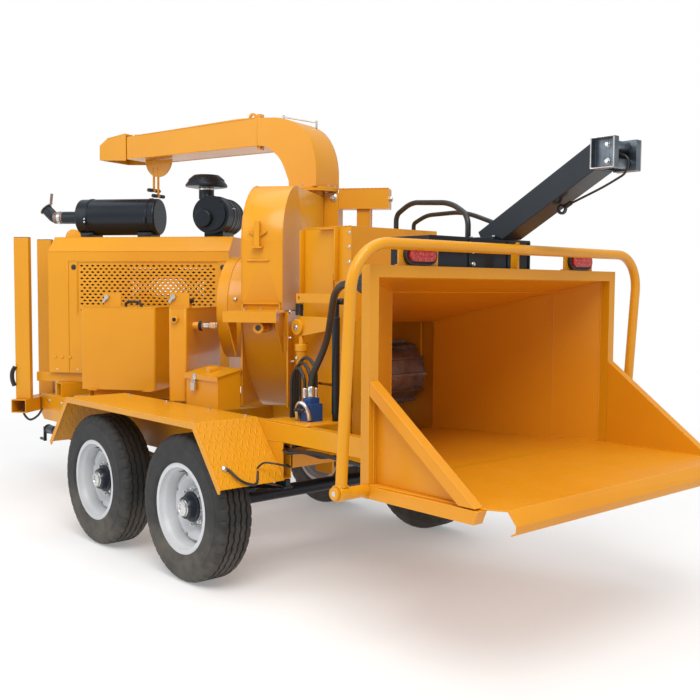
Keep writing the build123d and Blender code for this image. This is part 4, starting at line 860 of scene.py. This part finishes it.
# ------------------------------------------------------------------ chute details

CA = math.radians(198)
JOINT_X, TIP_X, TOP_Z, LOW_Z, HALF_W = 364, 1540, 2658, 2471, 145
CX, CY = Vector((math.cos(CA), math.sin(CA), 0)), Vector((-math.sin(CA), math.cos(CA), 0))
C0 = T(-270, 900, 0)
CR = Matrix((CX, CY, UP)).transposed()


def C(x, y, z):
    """Chute millimetres (x along the spout) to the row frame."""
    return C0 + CX * (x / 1000) + CY * (y / 1000) + UP * (z / 1000)


trim = G("chute_trim", "orange", "chute")
nuts = G("chute_trim", "bright", "chute")
for y in (-HALF_W, HALF_W):
    add_weld(trim, C(JOINT_X + 12, y, TOP_Z), C(TIP_X - 100, y, 2620.5), 0.003)
    add_weld(trim, C(JOINT_X + 12, y, LOW_Z), C(TIP_X - 100, y, 2456.4), 0.003)
    span_box(trim, C, (JOINT_X - 2, y - 2, LOW_Z + 3), (JOINT_X + 3, y + 2, TOP_Z - 3), CR, 0.001)
for z in (2672, 2460):
    for y in (-105, 105):
        add_bolt(nuts, C(JOINT_X + 14, y, z), CX, 0.009)
        add_bolt(nuts, C(JOINT_X - 14, y, z), -CX, 0.009)
add_rod(nuts, C(60, -118, 2640), C(330, -118, 2700), 0.006)
add_rod(nuts, C(330, -118, 2668), C(330, -118, 2712), 0.010)
add_rod(nuts, C(60, -118, 2600), C(60, -118, 2652), 0.008)
pivot = Vector(JOINTS["deflector_tilt"]["pos_m"])
dn = G("deflector_trim", "bright", "deflector")
add_rod(dn, pivot - CY * 0.092, pivot + CY * 0.092, 0.0065, 14)
for s in (-1, 1):
    add_bolt(dn, pivot + CY * 0.0795 * s, CY * s, 0.009)
dt = G("deflector_trim", "orange", "deflector")
for y in (-152, 152):
    add_weld(dt, C(1545, y, 2639), C(1728, y, 2616), 0.003)
hg = G("chute_grips", "plastic", "chute")
for x, z in ((1410, 2233), (1368, 2190)):
    for s in (-1, 1):
        add_lathe(hg, C(x, 12 * s, z), CY * s,
                  [(0, 0.0118), (0.004, 0.0138), (0.046, 0.0138), (0.050, 0.0125), (0.052, 0.0)], 20)

# ------------------------------------------------------------------ feed works

FEED_SIDE, FEED_TOP = -140, 1850
fb = G("feed_trim", "bright")
for z in (1660, 1740, 1815):
    add_bolt(fb, M(385, FEED_SIDE, z), Y_OUT, 0.009)
fo = G("feed_trim", "orange")
for a, b in (((2, FEED_TOP), (400, FEED_TOP)), ((400, FEED_TOP), (400, 1338))):
    add_weld(fo, M(a[0], FEED_SIDE, a[1]), M(b[0], FEED_SIDE, b[1]), 0.003)
span_box(fo, M, (0, -172, 1480), (8, -140.2, 1840), MR)
span_box(fo, M, (150, -172, 1836), (300, -140.2, 1844), MR)
span_box(fo, M, (294, -172, 1560), (302, -140.2, 1844), MR)
co = G("carriage_trim", "orange", "feed_carriage")
add_lathe(co, M(118, -270, 1306), Y_OUT, [(0, 0.044), (0.014, 0.044), (0.017, 0.040)], 40)
add_bolt(G("carriage_trim", "bright", "feed_carriage"), M(118, -287, 1306), Y_OUT, 0.016)
spring = []
for k in range(140):
    a = 2 * math.pi * k / 14
    spring.append(M(118 + 19 * math.cos(a), -265 + 19 * math.sin(a), 1370 + 0.46 * k))
add_path(G("carriage_trim", "hose", "feed_carriage"), spring, 0.0032, 8)
cyl = G("cylinder_trim", "orange")
add_lathe(cyl, M(131, -260, 1176), UP, [(0, 0.0305), (0.002, 0.036), (0.034, 0.036), (0.038, 0.033)], 40)
cs = G("cylinder_trim", "bright")
add_rod(cs, M(131, -296, 1140), M(131, -262, 1140), 0.009)
for dz in (0, 16, 32):
    add_lathe(cs, M(158, -292, 1120 - dz), -UP,
              [(0, 0.0085), (0.002, 0.0100), (0.012, 0.0100), (0.014, 0.0085)], 18)
add_path(G("cylinder_trim", "hose"), curve_points([M(158, -292, 1080), M(160, -294, 1000), M(170, -300, 920),
                                                   M(205, -330, 862), M(240, -360, 842)]), 0.008, 10)

# lever
LEVER_X, LEVER_Y = 512, -340
lv = G("lever_trim", "black", "height_lever")
add_lathe(lv, M(LEVER_X, LEVER_Y, 870), UP, [(0, 0.0178), (0.003, 0.0205), (0.500, 0.0205), (0.503, 0.0178)],
          28)
lg = G("lever_trim", "plastic", "height_lever")
add_lathe(lg, M(LEVER_X, LEVER_Y + 18, 1452), Vector((0, 1, 0)),
          [(0, 0.0135), (0.003, 0.0165), (0.100, 0.0165), (0.103, 0.013), (0.103, 0)], 24)
ls = G("lever_trim", "bright", "height_lever")
add_dome(ls, M(LEVER_X, LEVER_Y, 1466), UP, 0.012, 0.014)

# valve block and hose ends
span_box(G("valve_tray", "orange"), M, (229, -566, 831.4), (561, -309, 839.4), MR, 0.001)
vb = G("valve_trim", "bright")
for i in range(3):
    at = M(404 + 14 * i, -456 + 26 * i, 958)
    add_lathe(vb, at, UP, [(0, 0.012), (0.004, 0.0125), (0.005, 0.0108), (0.048, 0.0108), (0.050, 0.0095)],
              20)
    for k in range(4):
        add_lathe(vb, at + UP * (0.012 + 0.009 * k), UP,
                  [(0, 0.0108), (0.001, 0.0120), (0.005, 0.0120), (0.006, 0.0108)], 20)
add_lathe(vb, M(425, -430, 960), UP, [(0, 0.019), (0.004, 0.0205), (0.052, 0.0205), (0.056, 0.0178)], 28)
arch = curve_points([M(372, -478, 850), M(380, -488, 905), M(410, -494, 935), M(445, -490, 925),
                     M(462, -480, 890), M(466, -474, 850)])
add_path(vb, arch, 0.011, 14)
for k in range(3):
    x = 395 + 26 * k
    add_rod(vb, M(x, -472, 890), M(x, -500, 900), 0.006)
    add_dome(G("valve_trim", "plastic"), M(x, -500, 900), Y_OUT, 0.011, 0.02)

# ------------------------------------------------------------------ mouth, hopper, tray

MOUTH_HALF, FLOOR_Z, ROOF_Z = 832, 717, 1566
CAN_Y, CAN_Z = -722, 1540
mt = G("mouth_trim", "orange")
for y in (-MOUTH_HALF, MOUTH_HALF):
    add_weld(mt, M(1298, y, 722), M(1298, y, ROOF_Z), 0.003)
add_weld(mt, M(1298, -MOUTH_HALF, ROOF_Z), M(1298, MOUTH_HALF, ROOF_Z), 0.003)
st = [(400, -120, 500, FLOOR_Z, 1332), (1060, -478, 744, FLOOR_Z, 1504),
      (1298.8, -MOUTH_HALF, MOUTH_HALF, FLOOR_Z, ROOF_Z)]
hp = G("hopper_trim", "orange_floor")
for a, b in zip(st, st[1:]):
    for ya, yb in ((a[1] + 1.5, b[1] + 1.5), (a[2] - 1.5, b[2] - 1.5)):
        add_weld(hp, M(a[0], ya, a[3] + 1.5), M(b[0], yb, b[3] + 1.5), 0.003)
        add_weld(hp, M(a[0], ya, a[4] - 1.5), M(b[0], yb, b[4] - 1.5), 0.003)
k = st[1]
for p, q in (((k[1], k[3]), (k[1], k[4])), ((k[1], k[4]), (k[2], k[4])), ((k[2], k[4]), (k[2], k[3]))):
    add_weld(hp, M(k[0], p[0], p[1]), M(k[0], q[0], q[1]), 0.0025)
ty = G("tray_trim", "orange")
for s in (-1, 1):
    y = MOUTH_HALF * s
    add_weld(ty, M(1352, y, 718), M(1915, y, 718), 0.003)
    add_weld(ty, M(1351, y + 25 * s, 1100), M(1351, y + 25 * s, 715), 0.003)
can = G("valve_can", "plastic")
add_lathe(can, M(1126, CAN_Y, CAN_Z), X_OUT,
          [(0, 0.041), (0.002, 0.0425), (0.022, 0.0425), (0.024, 0.049), (0.056, 0.049), (0.058, 0.044),
           (0.058, 0)], 48)
for k in range(18):
    a = 2 * math.pi * k / 18
    r = Vector((0, math.cos(a), math.sin(a)))
    at = M(1150, CAN_Y, CAN_Z) + r * 0.049
    add_rod(can, at, at + X_OUT * 0.030, 0.0035, 8)
    if k % 2 == 0:
        cap_at = M(1184.5, CAN_Y, CAN_Z)
        add_path(can, [cap_at + r * 0.012, cap_at + r * 0.038], 0.0028, 6)
hb = G("hoop_trim", "bright")
for s in (-1, 1):
    add_bolt(hb, M(1335, 1048 * s, 700), Vector((0, s, 0)), 0.016)

# lamps
LAMP_Z, LAMP_FACE = 1662, 1343.2
for tag, y in (("left", -580), ("right", 580)):
    rub = G(f"lamp_{tag}", "plastic")
    oval = []
    for c, a0 in ((1, -90), (-1, 90)):
        for k in range(19):
            a = math.radians(a0 + 10 * k)
            oval.append((y + c * 53.5 + 41.5 * math.cos(a), LAMP_Z + 41.5 * math.sin(a)))
    add_slab(rub, oval, M, 1327.6, LAMP_FACE, (2, 0, 1))
    lip = [M(LAMP_FACE, y + (p - y) * 0.955, LAMP_Z + (q - LAMP_Z) * 0.9) for p, q in oval]
    add_path(rub, lip, 0.0055, 8, closed=True)
    led = G(f"lamp_{tag}", "lens")
    for dy in (-48, -29, -10, 10, 29, 48):
        for dz in (-9, 9):
            add_dome(led, M(1357, y + dy, LAMP_Z + dz), X_OUT, 0.0065, 0.0035)
    add_bolt(G(f"lamp_{tag}", "bright"), M(1327, y - 102, 1694), X_OUT, 0.008)

# ------------------------------------------------------------------ winch

wb = G("winch_trim", "bright")
wk = G("winch_trim", "black")
w0, w1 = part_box("winch_base")
for dz in (0.055, 0.115):
    add_bolt(wb, Vector((w1.x, w0.y + 0.30, w0.z + dz + 0.02)), X_OUT, 0.011)
for y in (w0.y + 0.002, w0.y + 0.27, w0.y + 0.55, w1.y - 0.002):
    add_box(wk, Vector((w1.x + 0.002, y, (w0.z + w1.z) / 2 + 0.02)), (0.006, 0.012, w1.z - w0.z - 0.05), MR,
            0.001)
add_box(wk, Vector((w1.x + 0.001, (w0.y + w1.y) / 2, w1.z - 0.004)), (0.010, w1.y - w0.y, 0.010), MR, 0.001)
b0, b1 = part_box("winch_boom")
fair = (Vector(JOINTS["fairlead_top_spin"]["pos_m"]) + Vector(JOINTS["fairlead_bottom_spin"]["pos_m"])) / 2
edge = G("fairlead_trim", "bright")
for s in (-1, 1):
    corners = [fair + Vector((x, s * 0.1035, z))
               for x, z in ((-0.0645, -0.0645), (0.0485, -0.0645), (0.0485, 0.0645), (-0.0645, 0.0645))]
    for p, q in zip(corners, corners[1:] + corners[:1]):
        add_path(edge, [p, q], 0.0032, 10)
    for dz in (-0.036, 0.036):
        add_bolt(edge, fair + Vector((0, s * 0.0742, dz)), Vector((0, s, 0)), 0.013)
flange = G("winch_trim", "bright")
for dx in (0.085, 0.225):
    for dy in (0.012, b1.y - b0.y - 0.012):
        add_bolt(flange, Vector((M(1010 + dx * 1000, 0, 0).x, b0.y + dy, M(0, 0, 1769).z)), UP, 0.009)

# ------------------------------------------------------------------ frame, jack, front guard

fr = G("frame_trim", "bright")
fw = G("frame_trim", "orange")
for x in (-2400, -2200):
    add_bolt(fr, M(x, -578, 690), Y_OUT, 0.011)
    add_bolt(fr, M(x, 578, 690), -Y_OUT, 0.011)
for s in (-1, 1):
    add_weld(fw, M(-1250, 578 * s, 736), M(330, 578 * s, 736), 0.003)
cable = G("frame_trim", "hose")
under = [M(-560, -500, 700), M(0, -505, 690), M(300, -512, 705), M(420, -560, 700), M(640, -565, 712),
         M(900, -560, 702), M(1040, -540, 690)]
add_path(cable, curve_points(under), 0.010, 10)
loop = [M(300, -520, 715), M(420, -590, 690), M(520, -560, 700), M(640, -540, 690), M(760, -555, 715)]
add_path(cable, curve_points(loop), 0.007, 10)
chain = [T(-2400, 905, 700), T(-2420, 890, 640), T(-2400, 880, 590), T(-2360, 885, 560), T(-2310, 900, 590),
         T(-2290, 930, 640)]
add_path(cable, curve_points(chain), 0.008, 10)
bits = [T(-2484, 900, 940), T(-2500, 890, 900), T(-2502, 890, 850), T(-2492, 900, 800)]
add_path(cable, curve_points(bits), 0.016, 10)
jk = G("jack_trim", "black")
jack_end = M(-2740, -440, 430)
for d in (0.0, 0.13, 0.28, 0.40):
    add_lathe(jk, jack_end + X_OUT * d, X_OUT, [(0, 0.034), (0.002, 0.036), (0.010, 0.036), (0.012, 0.034)],
              32)
pp = G("guard_posts", "plastic")
for v in (905, 1225, 1520):
    span_box(pp, T, (-2482, v + 2, 1866), (-2372, v + 38, 1870), TR)

G.build()

# ------------------------------------------------------------------ floor and light

floor = bpy.data.objects.new("floor", bpy.data.meshes.new("floor"))
floor.data.from_pydata([(-60, -60, 0), (60, -60, 0), (60, 60, 0), (-60, 60, 0)], [], [(0, 1, 2, 3)])
bpy.context.scene.collection.objects.link(floor)
floor_mat = bpy.data.materials.new("studio_floor")
tree, bsdf = nodes_of(floor_mat)
glow = tree.nodes.new("ShaderNodeEmission")
glow.inputs[0].default_value = (1, 1, 1, 1)
glow.inputs[1].default_value = 1.0
where = tree.nodes.new("ShaderNodeTexCoord")
reach = tree.nodes.new("ShaderNodeVectorMath")
reach.operation = "LENGTH"
link(tree, where.outputs["Object"], reach.inputs[0])
fade = tree.nodes.new("ShaderNodeMixShader")
link(tree, level(tree, reach.outputs["Value"], 1.5, 6.5, 0.25, 1.0), fade.inputs[0])
link(tree, bsdf.outputs[0], fade.inputs[1])
link(tree, glow.outputs[0], fade.inputs[2])
link(tree, fade.outputs[0], next(n for n in tree.nodes if n.type == "OUTPUT_MATERIAL").inputs[0])
link(tree, ramp(tree, noise(tree, 1.5, 4.0), [(0.3, (0.90, 0.90, 0.895)), (0.7, (0.93, 0.93, 0.925))]),
     bsdf.inputs["Base Color"])
bsdf.inputs["Roughness"].default_value = 0.85
floor.data.materials.append(floor_mat)

world = bpy.data.worlds.new("studio")
bpy.context.scene.world = world
world.use_nodes = True
sky = world.node_tree.nodes["Background"]
sky.inputs[0].default_value = (0.95, 0.97, 1.0, 1)
plain = world.node_tree.nodes.new("ShaderNodeBackground")
plain.inputs[0].default_value = (1, 1, 1, 1)
plain.inputs[1].default_value = 1.0
seen = world.node_tree.nodes.new("ShaderNodeLightPath")
choose = world.node_tree.nodes.new("ShaderNodeMixShader")
link(world.node_tree, seen.outputs["Is Camera Ray"], choose.inputs[0])
link(world.node_tree, sky.outputs[0], choose.inputs[1])
link(world.node_tree, plain.outputs[0], choose.inputs[2])
link(world.node_tree, choose.outputs[0], world.node_tree.nodes["World Output"].inputs[0])
sky.inputs[1].default_value = 0.62
bpy.context.scene.view_settings.view_transform = "Standard"


def area(name, target, direction, distance, size, energy, color=(1, 1, 1)):
    """Round soft light aimed at a target from a direction."""
    light = bpy.data.lights.new(name, "AREA")
    light.shape, light.size, light.energy, light.color = "DISK", size, energy, color
    obj = bpy.data.objects.new(name, light)
    bpy.context.scene.collection.objects.link(obj)
    d = Vector(direction).normalized()
    turn = d.to_track_quat("Z", "Y").to_matrix().to_4x4()
    obj.matrix_world = Matrix.Translation(Vector(target) + d * distance) @ turn


centre = (CAD_BOX[0] + CAD_BOX[1]) / 2
area("key", centre, (0.75, -0.55, 0.95), 9, 6.0, 520, (1.0, 0.98, 0.95))
area("fill", centre, (-0.3, -1.0, 0.5), 9, 7.0, 170, (0.95, 0.97, 1.0))
area("top", centre, (0.0, 0.1, 1.0), 8, 8.0, 240)
